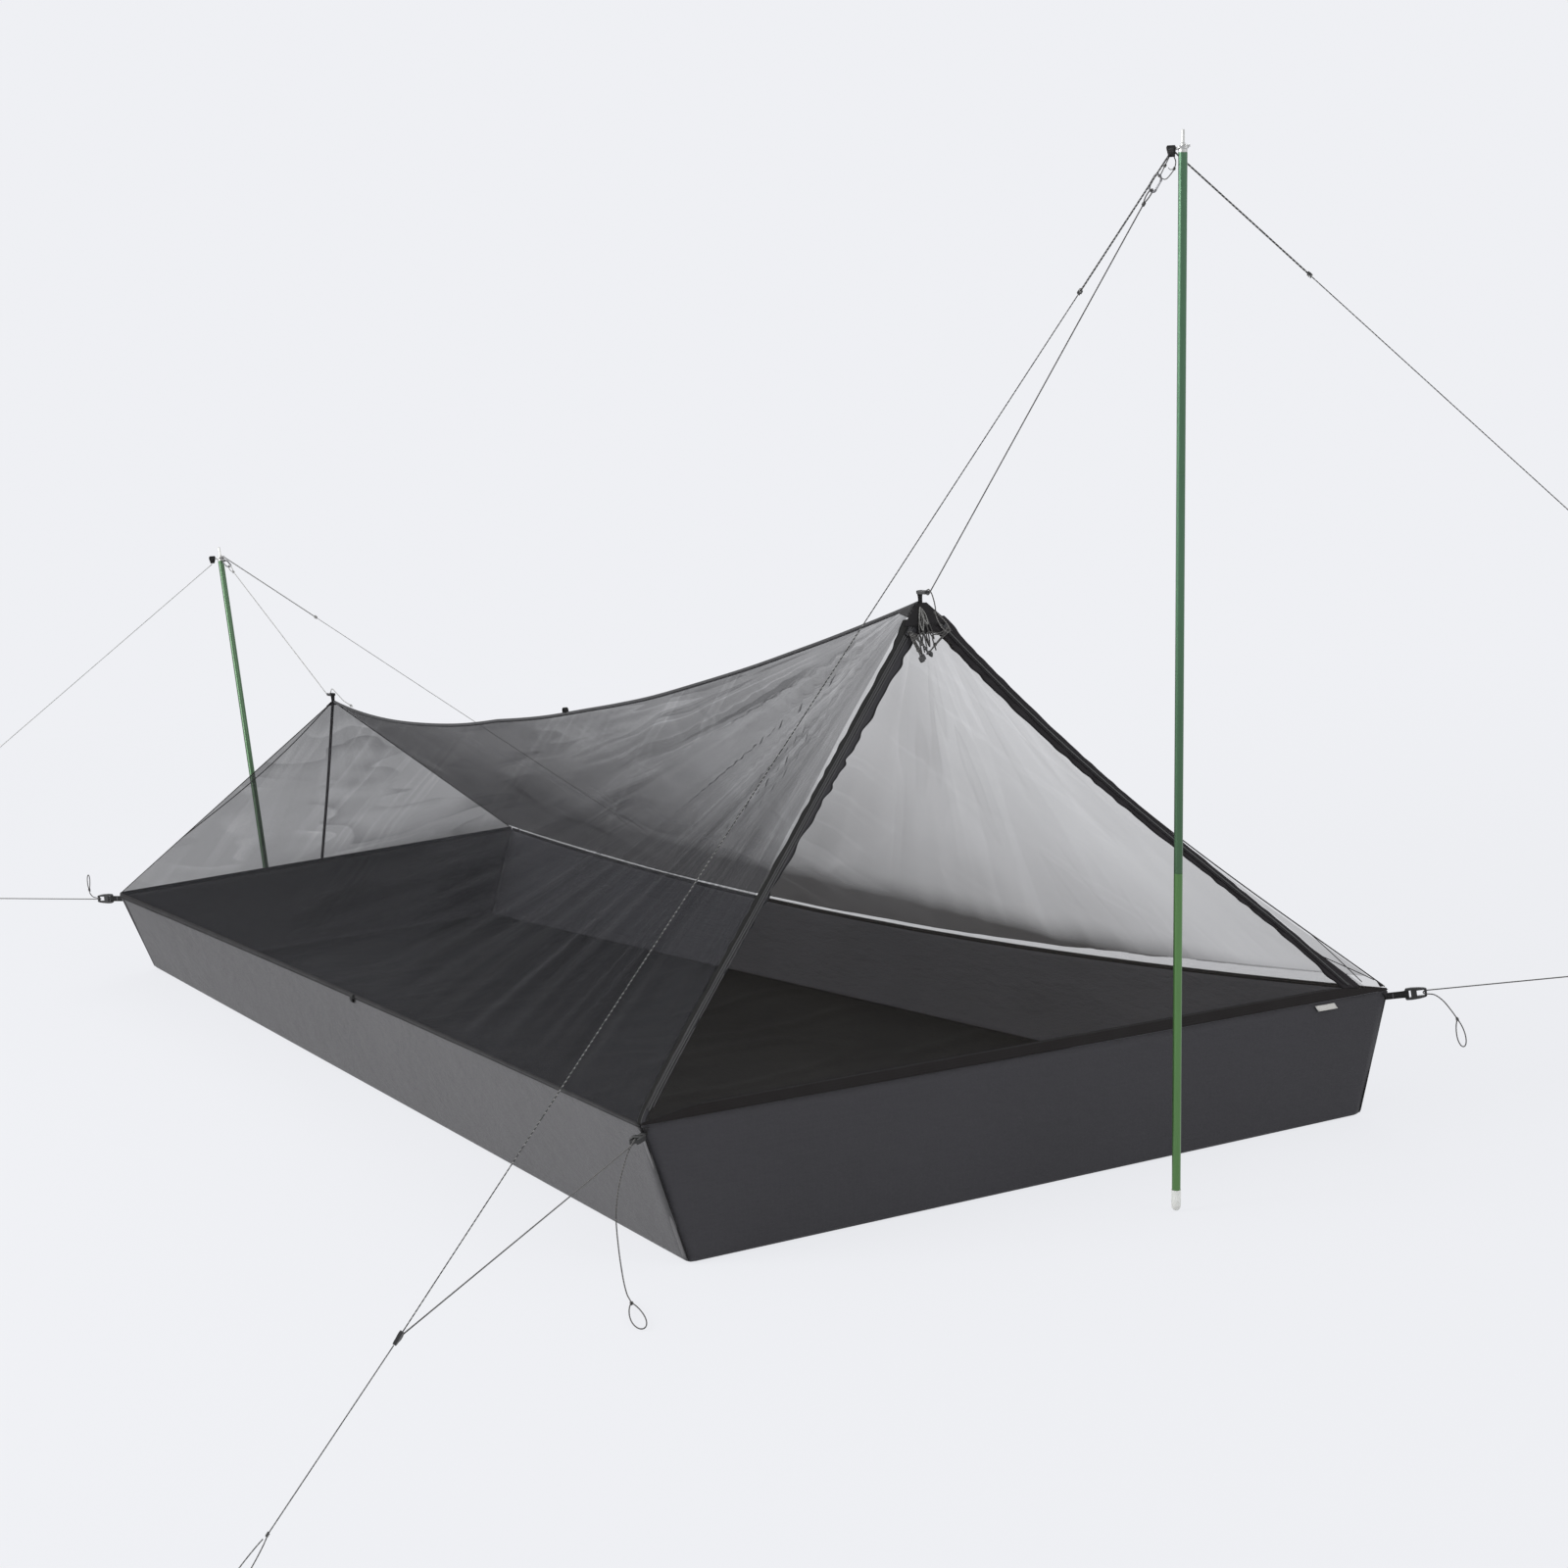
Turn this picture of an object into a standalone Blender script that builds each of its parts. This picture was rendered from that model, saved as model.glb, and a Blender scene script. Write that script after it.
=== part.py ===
import math

import bmesh
import bpy
from mathutils import Matrix, Vector

for old in list(bpy.data.objects):
    bpy.data.objects.remove(old, do_unlink=True)

# Driving dimensions in metres. X runs to the head end, Y to the far side, Z up.
gap = 0.0003
cloth = 0.0008
mesh_cloth = 0.0008
floor_length = 2.10
head_width = 0.965
foot_width = 0.615
side_flare = 0.048
rim_near_head = 0.167
rim_far_head = 0.151
rim_far_foot = 0.140
rim_near_foot = 0.128
near_rim_sag = 0.012
near_rim_bow = 0.027
far_rim_sag = 0.030
far_rim_bow = 0.030
head_peak = Vector((0.8463, 0.0, 0.680))
foot_peak = Vector((-0.949, 0.0, 0.4107))
ridge_sag = 0.074
ridge_radius = 0.0015
zip_width = 0.016
zip_thick = 0.0012
coil_width = 0.0032
coil_height = 0.0014
sill_height = 0.014
sill_thick = 0.0016
peak_half = 0.005
far_zip_inset = 0.036
far_edge_bow = 0.022
gusset_share = 0.25
zip_stop_top = 0.019
pole_radius = 0.005
pole_wall = 0.0007
plug_fit = 0.0003
front_pole_foot = Vector((1.2425, 0.0496, 0.005))
front_pole_tip = Vector((1.3379, 0.0496, 1.1894))
rear_pole_foot = Vector((-1.2835, 0.0, 0.005))
rear_pole_tip = Vector((-1.3895, 0.0, 0.6200))
pole_joint_low = 0.396
pole_joint_high = 0.844
spigot_length = 0.040
pin_radius = 0.0019
pin_length = 0.0140
collar_radius = 0.0026
collar_length = 0.0055
cap_height = 0.0044
cap_radius = pole_radius - 0.0001
ring_major = 0.0066
ring_wire = 0.0019
cord_radius = 0.00075
guy_thick = 0.0010
guy_thin = 0.0006
junction = Vector((1.6548, -1.0999, 0.1913))
near_stake = Vector((1.715, -1.32, 0.0016))

half_length = floor_length / 2
inner_end = half_length - cloth - gap


# Materials and plain helpers
def paint(obj, colour, roughness, metallic=0.0):
    material = bpy.data.materials.new(obj.name)
    material.use_nodes = True
    shader = material.node_tree.nodes["Principled BSDF"]
    shader.inputs["Base Color"].default_value = (colour[0], colour[1], colour[2], 1.0)
    shader.inputs["Roughness"].default_value = roughness
    shader.inputs["Metallic"].default_value = metallic
    material.diffuse_color = (colour[0], colour[1], colour[2], 1.0)
    obj.data.materials.clear()
    obj.data.materials.append(material)
    return obj


def add_object(name, data):
    obj = bpy.data.objects.new(name, data)
    bpy.context.scene.collection.objects.link(obj)
    return obj


def mesh_object(name, points, faces):
    data = bpy.data.meshes.new(name)
    data.from_pydata([tuple(p) for p in points], [], faces)
    data.update()
    work = bmesh.new()
    work.from_mesh(data)
    bmesh.ops.recalc_face_normals(work, faces=work.faces)
    work.to_mesh(data)
    work.free()
    return add_object(name, data)


def smooth(obj):
    for face in obj.data.polygons:
        face.use_smooth = True
    return obj


# A cloth panel: a grid of points given a thickness
def sheet(name, rows, thickness, outward, offset):
    across = len(rows[0])
    points = [p for row in rows for p in row]
    faces = []
    for i in range(len(rows) - 1):
        for j in range(across - 1):
            a = i * across + j
            faces.append((a, a + 1, a + across + 1, a + across))
    data = bpy.data.meshes.new(name)
    data.from_pydata([tuple(p) for p in points], [], faces)
    data.update()
    total = Vector((0, 0, 0))
    for face in data.polygons:
        total = total + face.normal * face.area
    if total.dot(outward) < 0:
        data.flip_normals()
    obj = smooth(add_object(name, data))
    solid = obj.modifiers.new("thickness", "SOLIDIFY")
    solid.thickness = thickness
    solid.offset = offset
    solid.use_even_offset = False
    solid.use_rim = True
    return obj


# A flat outline given a thickness, centred on its own plane
def prism(name, outline, thickness, place):
    count = len(outline)
    low = [place(s, t, -thickness / 2) for s, t in outline]
    high = [place(s, t, thickness / 2) for s, t in outline]
    faces = [tuple(range(count)), tuple(range(2 * count - 1, count - 1, -1))]
    for i in range(count):
        j = (i + 1) % count
        faces.append((i, count + i, count + j, j))
    return mesh_object(name, low + high, faces)


# A round tube along points, with its own radius at every point
def cord(name, stations, depth, cyclic=False):
    data = bpy.data.curves.new(name, "CURVE")
    data.dimensions = "3D"
    data.fill_mode = "FULL"
    data.twist_mode = "MINIMUM"
    data.bevel_depth = depth
    data.bevel_resolution = 2
    data.use_fill_caps = not cyclic
    spline = data.splines.new("POLY")
    spline.points.add(len(stations) - 1)
    for i, station in enumerate(stations):
        point, radius = station
        spline.points[i].co = (point[0], point[1], point[2], 1.0)
        spline.points[i].radius = radius / depth
    spline.use_cyclic_u = cyclic
    spline.use_smooth = True
    return add_object(name, data)


# A turned piece: the profile runs down the outer side and is spun round Z
def turned(name, profile, closed, steps=24):
    edges = [(i, i + 1) for i in range(len(profile) - 1)]
    if closed:
        edges.append((len(profile) - 1, 0))
    data = bpy.data.meshes.new(name)
    data.from_pydata([(r, 0.0, z) for r, z in profile], edges, [])
    data.update()
    obj = add_object(name, data)
    spin = obj.modifiers.new("spin", "SCREW")
    spin.steps = steps
    spin.render_steps = steps
    spin.use_merge_vertices = True
    spin.merge_threshold = 0.00001
    spin.use_smooth_shade = True
    return obj


def frame_at(origin, x_dir, z_hint):
    x = Vector(x_dir).normalized()
    y = Vector(z_hint).cross(x).normalized()
    z = x.cross(y)
    turn = Matrix((x, y, z)).transposed()
    return Matrix.Translation(Vector(origin)) @ turn.to_4x4()


def half_floor(x):
    k = (x + half_length) / floor_length
    return (foot_width + (head_width - foot_width) * k) / 2


def rim(side, x):
    k = (x + half_length) / floor_length
    arch = 4 * k * (1 - k)
    if side < 0:
        z = rim_near_foot + (rim_near_head - rim_near_foot) * k - near_rim_sag * arch
        y = half_floor(x) + side_flare - near_rim_bow * arch
    else:
        z = rim_far_foot + (rim_far_head - rim_far_foot) * k - far_rim_sag * arch
        y = half_floor(x) + side_flare - far_rim_bow * arch
    return Vector((x, side * y, z))


# Tub: floor, two side walls, two end walls
inset = cloth * 1.1 + gap
floor_corners = []
for x in (-inner_end, inner_end):
    floor_corners.append((x, half_floor(x) - inset))
outline = [
    (floor_corners[0][0], -floor_corners[0][1]),
    (floor_corners[1][0], -floor_corners[1][1]),
    (floor_corners[1][0], floor_corners[1][1]),
    (floor_corners[0][0], floor_corners[0][1]),
]
floor_panel = prism("floor_panel", outline, cloth, lambda s, t, n: Vector((s, t, cloth / 2 + n)))
paint(floor_panel, (0.028, 0.028, 0.029), 0.72)

side_columns = 25
for side, name in ((-1, "near_wall"), (1, "far_wall")):
    rows = []
    for i in range(side_columns):
        x = -inner_end + 2 * inner_end * i / (side_columns - 1)
        foot = Vector((x, side * half_floor(x), 0.0))
        top = rim(side, x)
        rows.append([foot.lerp(top, j / 3) for j in range(4)])
    wall = sheet(name, rows, cloth, Vector((0, side, 0)), -1.0)
    paint(wall, (0.045, 0.046, 0.052), 0.58)

for end, name in ((1, "head_wall"), (-1, "foot_wall")):
    x = end * half_length
    near_top = rim(-1, x)
    far_top = rim(1, x)
    near_low = Vector((x, -half_floor(x), 0.0))
    far_low = Vector((x, half_floor(x), 0.0))
    rows = []
    for i in range(9):
        low = near_low.lerp(far_low, i / 8)
        top = near_top.lerp(far_top, i / 8)
        rows.append([low.lerp(top, j / 4) for j in range(5)])
    wall = sheet(name, rows, cloth, Vector((end, 0, 0)), -1.0)
    paint(wall, (0.045, 0.046, 0.052), 0.58)


# The sloping planes of the door and of the foot panel
class SlopePlane:
    def __init__(self, near, far, peak, outward):
        self.origin = (near + far) / 2
        self.across = (far - near).normalized()
        self.half = (far - near).length / 2
        rise = peak - self.origin
        self.peak_s = rise.dot(self.across)
        up = rise - self.across * self.peak_s
        self.peak_t = up.length
        self.up = up.normalized()
        normal = self.across.cross(self.up)
        if normal.dot(outward) < 0:
            normal = -normal
        self.normal = normal

    def at(self, s, t, n):
        return self.origin + self.across * s + self.up * t + self.normal * n


def rim_centre(side, x, lift):
    p = rim(side, x)
    return Vector((p.x, p.y - side * cloth / 2, p.z + lift))


end_x = half_length - cloth / 2
near_head = rim(-1, half_length)
far_head = rim(1, half_length)
lean = math.atan2(end_x - head_peak.x, head_peak.z - rim_near_head)
sill_lift = gap + sill_thick / 2 * math.sin(lean) + 0.0001
door = SlopePlane(
    Vector((end_x, near_head.y, near_head.z + sill_lift)),
    Vector((end_x, far_head.y, far_head.z + sill_lift)),
    head_peak,
    Vector((1, 0, 0)),
)
near_foot = rim(-1, -half_length)
far_foot = rim(1, -half_length)
panel_lift = gap + mesh_cloth / 2
foot_plane = SlopePlane(
    Vector((-end_x, near_foot.y, near_foot.z + panel_lift)),
    Vector((-end_x, far_foot.y, far_foot.z + panel_lift)),
    foot_peak,
    Vector((-1, 0, 0)),
)


# Lines up the edge of the door: side -1 near, 1 far; the far zip lands inside its corner
def edge_axes(side, inset):
    start = Vector((side * (door.half - inset), 0.0))
    finish = Vector((door.peak_s + side * peak_half, door.peak_t))
    along = (finish - start).normalized()
    inward = Vector((along.y, -along.x)) * -side
    return start, along, inward


def zip_axes(side):
    return edge_axes(side, far_zip_inset if side > 0 else 0.0)


# The far front edge of the cover hangs in between rim and peak
def edge_bow(side, share):
    if side < 0:
        return 0.0
    return far_edge_bow * math.sin(math.pi * min(max(share, 0.0), 1.0) ** 1.25)


def zip_point(side, lateral, height, normal):
    start, along, inward = zip_axes(side)
    base = start + inward * lateral
    run = (height - base.y) / along.y
    p = base + along * run
    return door.at(p.x, p.y, normal)


# Head opening: sill band, zip strips, door panel
trim_s = sill_height * (door.half - peak_half) / door.peak_t
outline = [
    (-door.half, 0.0),
    (door.half, 0.0),
    (door.half - trim_s, sill_height),
    (-door.half + trim_s, sill_height),
]
sill_band = prism("sill_band", outline, sill_thick, door.at)
paint(sill_band, (0.014, 0.014, 0.015), 0.62)

zip_low = sill_height + gap
zip_high = door.peak_t - zip_stop_top
middle = zip_width / 2
section = [
    (0.0, -zip_thick / 2),
    (zip_width, -zip_thick / 2),
    (zip_width, zip_thick / 2),
    (middle + coil_width / 2, zip_thick / 2),
    (middle + coil_width / 2 - 0.0004, zip_thick / 2 + coil_height),
    (middle - coil_width / 2 + 0.0004, zip_thick / 2 + coil_height),
    (middle - coil_width / 2, zip_thick / 2),
    (0.0, zip_thick / 2),
]
for side, name in ((-1, "near_zip"), (1, "far_zip")):
    count = len(section)
    points = [zip_point(side, q, zip_low, n) for q, n in section]
    points = points + [zip_point(side, q, zip_high, n) for q, n in section]
    faces = [tuple(range(count)), tuple(range(2 * count - 1, count - 1, -1))]
    for i in range(count):
        j = (i + 1) % count
        faces.append((i, count + i, count + j, j))
    strip = mesh_object(name, points, faces)
    paint(strip, (0.020, 0.020, 0.021), 0.50)

door_top = door.peak_t - 0.0215
corners = []
for side, height in ((-1, zip_low), (1, zip_low), (1, door_top), (-1, door_top)):
    start, along, inward = zip_axes(side)
    base = start + inward * (zip_width + gap)
    p = base + along * ((height - base.y) / along.y)
    corners.append((p.x, p.y))
door_rows = []
for i in range(9):
    low_s = corners[0][0] + (corners[1][0] - corners[0][0]) * i / 8
    top_s = corners[3][0] + (corners[2][0] - corners[3][0]) * i / 8
    column = []
    for j in range(11):
        k = j / 10
        column.append(door.at(low_s + (top_s - low_s) * k, zip_low + (door_top - zip_low) * k, 0.0))
    door_rows.append(column)
door_panel = sheet("door_panel", door_rows, mesh_cloth, door.normal, 0.0)
paint(door_panel, (0.62, 0.60, 0.57), 0.85)

# Mesh gusset between the far zip and the far front edge
start, along, inward = edge_axes(1, 0.0)
gusset_rows = []
for i in range(9):
    height = zip_low + (door.peak_t * gusset_share - zip_low) * i / 8
    inner = zip_point(1, -gap, height, 0.0)
    base = start + inward * (edge_bow(1, height / door.peak_t) - 0.0010)
    p = base + along * ((height - base.y) / along.y)
    outer = door.at(p.x, p.y, 0.0)
    gusset_rows.append([inner.lerp(outer, j / 3) for j in range(4)])
far_door_gusset = sheet("far_door_gusset", gusset_rows, mesh_cloth, door.normal, 0.0)
paint(far_door_gusset, (0.62, 0.60, 0.57), 0.85)


# Ridge height along its length
def ridge_z(u):
    sag = 4 * u * (1 - u) * (1 + 0.35 * (0.5 - u))
    return foot_peak.z + (head_peak.z - foot_peak.z) * u - ridge_sag * sag


# Mesh panels between rim and ridge
grid_u = 29
grid_v = 10
edge_y = ridge_radius + gap + mesh_cloth / 2
door_back = zip_thick / 2 + gap + mesh_cloth / 2 + 0.0004
foot_back = mesh_cloth + gap
for side, name in ((-1, "near_canopy"), (1, "far_canopy")):
    head_low = rim_centre(side, half_length - 0.0025, panel_lift)
    head_top = door.at(door.peak_s + side * peak_half, door.peak_t, -door_back)
    foot_low = rim_centre(side, -half_length + 0.0019, panel_lift)
    foot_top = foot_plane.at(foot_plane.peak_s + side * 0.003, foot_plane.peak_t, -foot_back - 0.0013)

    def bottom_at(u):
        x = foot_low.x + (head_low.x - foot_low.x) * u
        return rim_centre(side, x, panel_lift)

    def top_at(u):
        x = foot_top.x + (head_top.x - foot_top.x) * u
        y = side * edge_y
        y = y + side * (peak_half - edge_y) * max(0.0, (u - 0.9) / 0.1)
        y = y + side * (0.003 - edge_y) * max(0.0, (0.06 - u) / 0.06)
        z = ridge_z((x - foot_peak.x) / (head_peak.x - foot_peak.x))
        return Vector((x, y, z))

    bottom_fix = (foot_low - bottom_at(0.0), head_low - bottom_at(1.0))
    top_fix = (foot_top - top_at(0.0), head_top - top_at(1.0))
    edge_inward = edge_axes(side, 0.0)[2]
    pull_in = door.across * edge_inward.x + door.up * edge_inward.y
    rows = []
    for i in range(grid_u):
        u = i / (grid_u - 1)
        low = bottom_at(u) + bottom_fix[0] * (1 - u) + bottom_fix[1] * u
        high = top_at(u) + top_fix[0] * (1 - u) + top_fix[1] * u
        row = []
        for j in range(grid_v):
            v = j / (grid_v - 1)
            left = foot_low.lerp(foot_top, v)
            right = head_low.lerp(head_top, v)
            corner = foot_low.lerp(head_low, u) * (1 - v) + foot_top.lerp(head_top, u) * v
            spot = low * (1 - v) + high * v + left * (1 - u) + right * u - corner
            row.append(spot + pull_in * (edge_bow(side, v) * u ** 4))
        rows.append(row)
    canopy = sheet(name, rows, mesh_cloth, Vector((0, side, 1)), 0.0)
    paint(canopy, (0.10, 0.10, 0.105), 0.80)

foot_rows = []
foot_top_t = foot_plane.peak_t - 0.002
for i in range(9):
    k = -1 + 2 * i / 8
    top_half = 0.003 + (foot_plane.half - 0.003) * 0.002 / foot_plane.peak_t
    low_s = k * foot_plane.half
    top_s = foot_plane.peak_s + k * top_half
    foot_rows.append([
        foot_plane.at(low_s + (top_s - low_s) * j / 8, foot_top_t * j / 8, 0.0)
        for j in range(9)
    ])
foot_panel = sheet("foot_panel", foot_rows, mesh_cloth, Vector((-1, 0, 0)), 0.0)
paint(foot_panel, (0.33, 0.32, 0.30), 0.80)

stations = []
ridge_start = foot_peak.x + 0.004
ridge_end = head_peak.x - 0.005
for i in range(41):
    x = ridge_start + (ridge_end - ridge_start) * i / 40
    u = (x - foot_peak.x) / (head_peak.x - foot_peak.x)
    stations.append(((x, 0.0, ridge_z(u)), ridge_radius))
ridge_binding = cord("ridge_binding", stations, ridge_radius)
paint(ridge_binding, (0.020, 0.020, 0.022), 0.65)


# Zip sliders ride the coil, each with a swinging pull
slider_length = 0.011
slider_width = 0.0074
slider_height = 0.0030
slider_start = 0.036
zip_face = zip_thick / 2 + gap
groove_half = coil_width / 2 + gap
groove_top = zip_thick / 2 + coil_height + gap
pull_back = 0.00075 + gap + 0.00005
slider_frames = {}
for side, name in ((-1, "near"), (1, "far")):
    start, along, inward = zip_axes(side)
    height = door.peak_t - slider_start
    centre = zip_point(side, middle, height, 0.0)
    direction = door.across * along.x + door.up * along.y
    turn = frame_at(centre, direction, door.normal)
    slider_frames[side] = turn
    half = slider_length / 2
    wide = slider_width / 2
    outer = zip_face + slider_height
    profile = [
        (-wide, zip_face),
        (-groove_half, zip_face),
        (-groove_half, groove_top),
        (groove_half, groove_top),
        (groove_half, zip_face),
        (wide, zip_face),
        (wide, outer - 0.0007),
        (wide - 0.0012, outer),
        (-wide + 0.0012, outer),
        (-wide, outer - 0.0007),
    ]
    points = [Vector((-half, y, z)) for y, z in profile] + [Vector((half, y, z)) for y, z in profile]
    count = len(profile)
    faces = [tuple(range(count)), tuple(range(2 * count - 1, count - 1, -1))]
    for i in range(count):
        j = (i + 1) % count
        faces.append((i, count + i, count + j, j))
    slider = mesh_object(name + "_slider", points, faces)
    slider.matrix_world = turn
    paint(slider, (0.012, 0.012, 0.012), 0.35, 0.4)

    # The pull hangs down the fall line of the door from a hinge above the slider
    hinge = turn @ Vector((0.0, 0.0, outer + pull_back))
    down = -door.up
    pull_turn = frame_at(hinge, down, door.normal)
    stem = []
    for distance in (0.0, 0.012, 0.024, 0.036, 0.0445):
        stem.append((Vector((distance, 0.0, 0.0)), 0.00075))
    for distance, radius in ((0.0450, 0.0020), (0.0462, 0.0026), (0.0505, 0.0026), (0.0525, 0.0022), (0.0532, 0.0012)):
        stem.append((Vector((distance, 0.0, 0.0)), radius))
    pull = cord(name + "_pull", stem, 0.00075)
    pull.matrix_world = pull_turn
    paint(pull, (0.030, 0.030, 0.031), 0.55)


# Line tensioner: strap window and bar behind, cord window and bar in front
def box_mesh(low, high):
    data = bpy.data.meshes.new("box")
    work = bmesh.new()
    bmesh.ops.create_cube(work, size=1.0)
    for vert in work.verts:
        vert.co.x = low[0] if vert.co.x < 0 else high[0]
        vert.co.y = low[1] if vert.co.y < 0 else high[1]
        vert.co.z = low[2] if vert.co.z < 0 else high[2]
    work.to_mesh(data)
    work.free()
    return data


def tensioner(name, place, k):
    mm = 0.001 * k
    shape = [
        (-14.0, -5.5), (-12.5, -7.2), (-6.0, -7.5), (3.0, -6.9), (9.0, -6.0), (11.8, -5.2), (13.0, -4.0),
        (13.0, 4.0), (11.8, 5.2), (9.0, 6.0), (3.0, 6.9), (-6.0, 7.5), (-12.5, 7.2), (-14.0, 5.5),
    ]
    outline = [(x * mm, y * mm) for x, y in shape]
    body = prism(name, outline, 5.4 * mm, lambda s, t, n: Vector((s, t, n)))
    cuts = [
        ((-10.4, -4.6, -6.0), (-6.6, 4.6, 6.0)),
        ((-16.0, -4.6, 1.3), (-10.4, 4.6, 6.0)),
        ((-16.0, -4.6, -6.0), (-10.4, 4.6, -1.3)),
        ((0.5, -3.6, -6.0), (10.0, 3.6, 6.0)),
        ((10.0, -3.6, 1.5), (16.0, 3.6, 6.0)),
        ((10.0, -3.6, -6.0), (16.0, 3.6, -1.5)),
    ]
    for index, cut in enumerate(cuts):
        low = [value * mm for value in cut[0]]
        high = [value * mm for value in cut[1]]
        cutter = add_object(name + "_cut" + str(index), box_mesh(low, high))
        cutter.hide_render = True
        cutter.display_type = "WIRE"
        cutter.matrix_world = place
        carve = body.modifiers.new("window" + str(index), "BOOLEAN")
        carve.operation = "DIFFERENCE"
        carve.solver = "EXACT"
        carve.object = cutter
    body.matrix_world = place
    return paint(body, (0.012, 0.012, 0.013), 0.42)


# Webbing folded round the rear bar of a tensioner, its root end at -reach
def strap(name, place, k, reach):
    mm = 0.001 * k
    slack = 0.00035
    bar_z = 1.3 * mm + slack
    ply = 0.0009
    top = bar_z + ply
    bar_front = -10.4 * mm + slack
    bar_rear = -14.0 * mm - slack
    outer = [
        (-reach, ply),
        (bar_rear - 0.0012, top - 0.0003),
        (bar_rear + 0.0004, top),
        (bar_front, top),
        (bar_front + ply, bar_z - 0.0002),
        (bar_front + ply, -bar_z + 0.0002),
        (bar_front, -top),
        (bar_rear + 0.0004, -top),
        (bar_rear - 0.0012, -top + 0.0003),
        (-reach, -ply),
    ]
    inner = [
        (bar_rear - 0.0013, 0.0001),
        (bar_rear, bar_z - 0.0001),
        (bar_rear + 0.0004, bar_z),
        (bar_front - 0.0002, bar_z),
        (bar_front, bar_z - 0.0002),
        (bar_front, -bar_z + 0.0002),
        (bar_front - 0.0002, -bar_z),
        (bar_rear + 0.0004, -bar_z),
        (bar_rear, -bar_z + 0.0001),
        (bar_rear - 0.0013, -0.0001),
    ]
    count = len(outer)
    half = 4.2 * mm
    points = []
    for y in (-half, half):
        points = points + [Vector((x, y, z)) for x, z in outer]
        points = points + [Vector((x, y, z)) for x, z in inner]
    faces = []
    for i in range(count):
        j = (i + 1) % count
        near_outer = (i, j)
        near_inner = (count + i, count + j)
        far_outer = (2 * count + i, 2 * count + j)
        far_inner = (3 * count + i, 3 * count + j)
        faces.append((near_outer[0], near_outer[1], near_inner[1], near_inner[0]))
        faces.append((far_outer[1], far_outer[0], far_inner[0], far_inner[1]))
        faces.append((near_outer[1], near_outer[0], far_outer[0], far_outer[1]))
        faces.append((near_inner[0], near_inner[1], far_inner[1], far_inner[0]))
    web = mesh_object(name, points, faces)
    web.matrix_world = place
    return paint(web, (0.030, 0.030, 0.031), 0.75)


# The turn a cord makes round the front bar, main line first
def wrap(place, k, rise, last, main_y, tail_y):
    centre = Vector((11.5 * 0.001 * k, 0.0, 0.0))
    radius = 2.13 * 0.001 * k + 0.00035 + cord_radius
    first = math.radians(rise - 90)
    final = math.radians(last)
    points = []
    steps = 9
    for i in range(steps + 1):
        f = i / steps
        angle = first + (final - first) * f
        y = main_y + (tail_y - main_y) * f
        local = centre + Vector((radius * math.cos(angle), y, radius * math.sin(angle)))
        points.append(place @ local)
    return points


# A knotted loop at the end of a line, running out and back
def loop_end(knot, tip, side, width, radius, last_turn=0.42):
    along = tip - knot
    length = along.length
    along = along.normalized()
    across = (Vector(side) - along * along.dot(Vector(side))).normalized()
    stations = []
    steps = 16
    for i in range(1, steps + 1):
        angle = (2 * math.pi - last_turn) * i / steps
        x = length * (1 - math.cos(angle)) / 2
        y = width * math.sin(angle) * (0.35 + 0.65 * math.sin(angle / 2))
        stations.append((knot + along * x + across * y, radius))
    return stations


def knot_at(point, direction, radius, size):
    d = Vector(direction).normalized()
    return [
        (point - d * size, radius),
        (point - d * size * 0.75, size * 0.85),
        (point, size * 1.05),
        (point + d * size * 0.75, size * 0.85),
        (point + d * size, radius),
    ]


def span(a, b, first, last, count, radius):
    total = (b - a).length
    d = (b - a).normalized()
    stations = []
    for i in range(count):
        distance = first + (total - last - first) * i / (count - 1)
        stations.append((a + d * distance, radius))
    return stations


# Corners: webbing, tensioner and the frame both stand in
corner_plan = {
    "near_head": (1, -1, 0.1580, junction, Vector((0, 0, 1)), 0.0290),
    "far_head": (1, 1, 0.1435, Vector((1.2146, 0.7096, 0.1671)), Vector((0.734, -0.673, 0)), 0.0350),
    "near_foot": (-1, -1, 0.1215, Vector((-1.2567, -0.5211, 0.1194)), Vector((0.62, -0.78, 0)), 0.0290),
    "far_foot": (-1, 1, 0.1330, Vector((-1.2567, 0.5211, 0.1194)), Vector((0, 0, 1)), 0.0290),
}
corner_frames = {}
for name, plan in corner_plan.items():
    end, side, height, target, face, reach = plan
    top = rim(side, end * half_length)
    edge_y = half_floor(end * half_length) + side_flare * height / top.z
    root = Vector((end * half_length, side * edge_y, height))
    direction = (target - root).normalized()
    place = frame_at(root, direction, face)
    spread = 0.0042 * abs(place[2][1]) + 0.0009 * abs(place[2][2])
    seat = gap + 0.0001 + abs(direction.y) * side_flare / top.z * spread
    place = frame_at(root + direction * (seat + reach), direction, face)
    corner_frames[name] = place
    tensioner(name + "_tensioner", place, 1.0)
    strap(name + "_webbing", place, 1.0, reach)


# Peaks: a reinforcement and strap rising to a smaller tensioner
peak_k = 0.68
peak_strap_x = -12.2 * 0.001 * peak_k
peak_tensioner_z = 0.0131
peak_frames = {}


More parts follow.
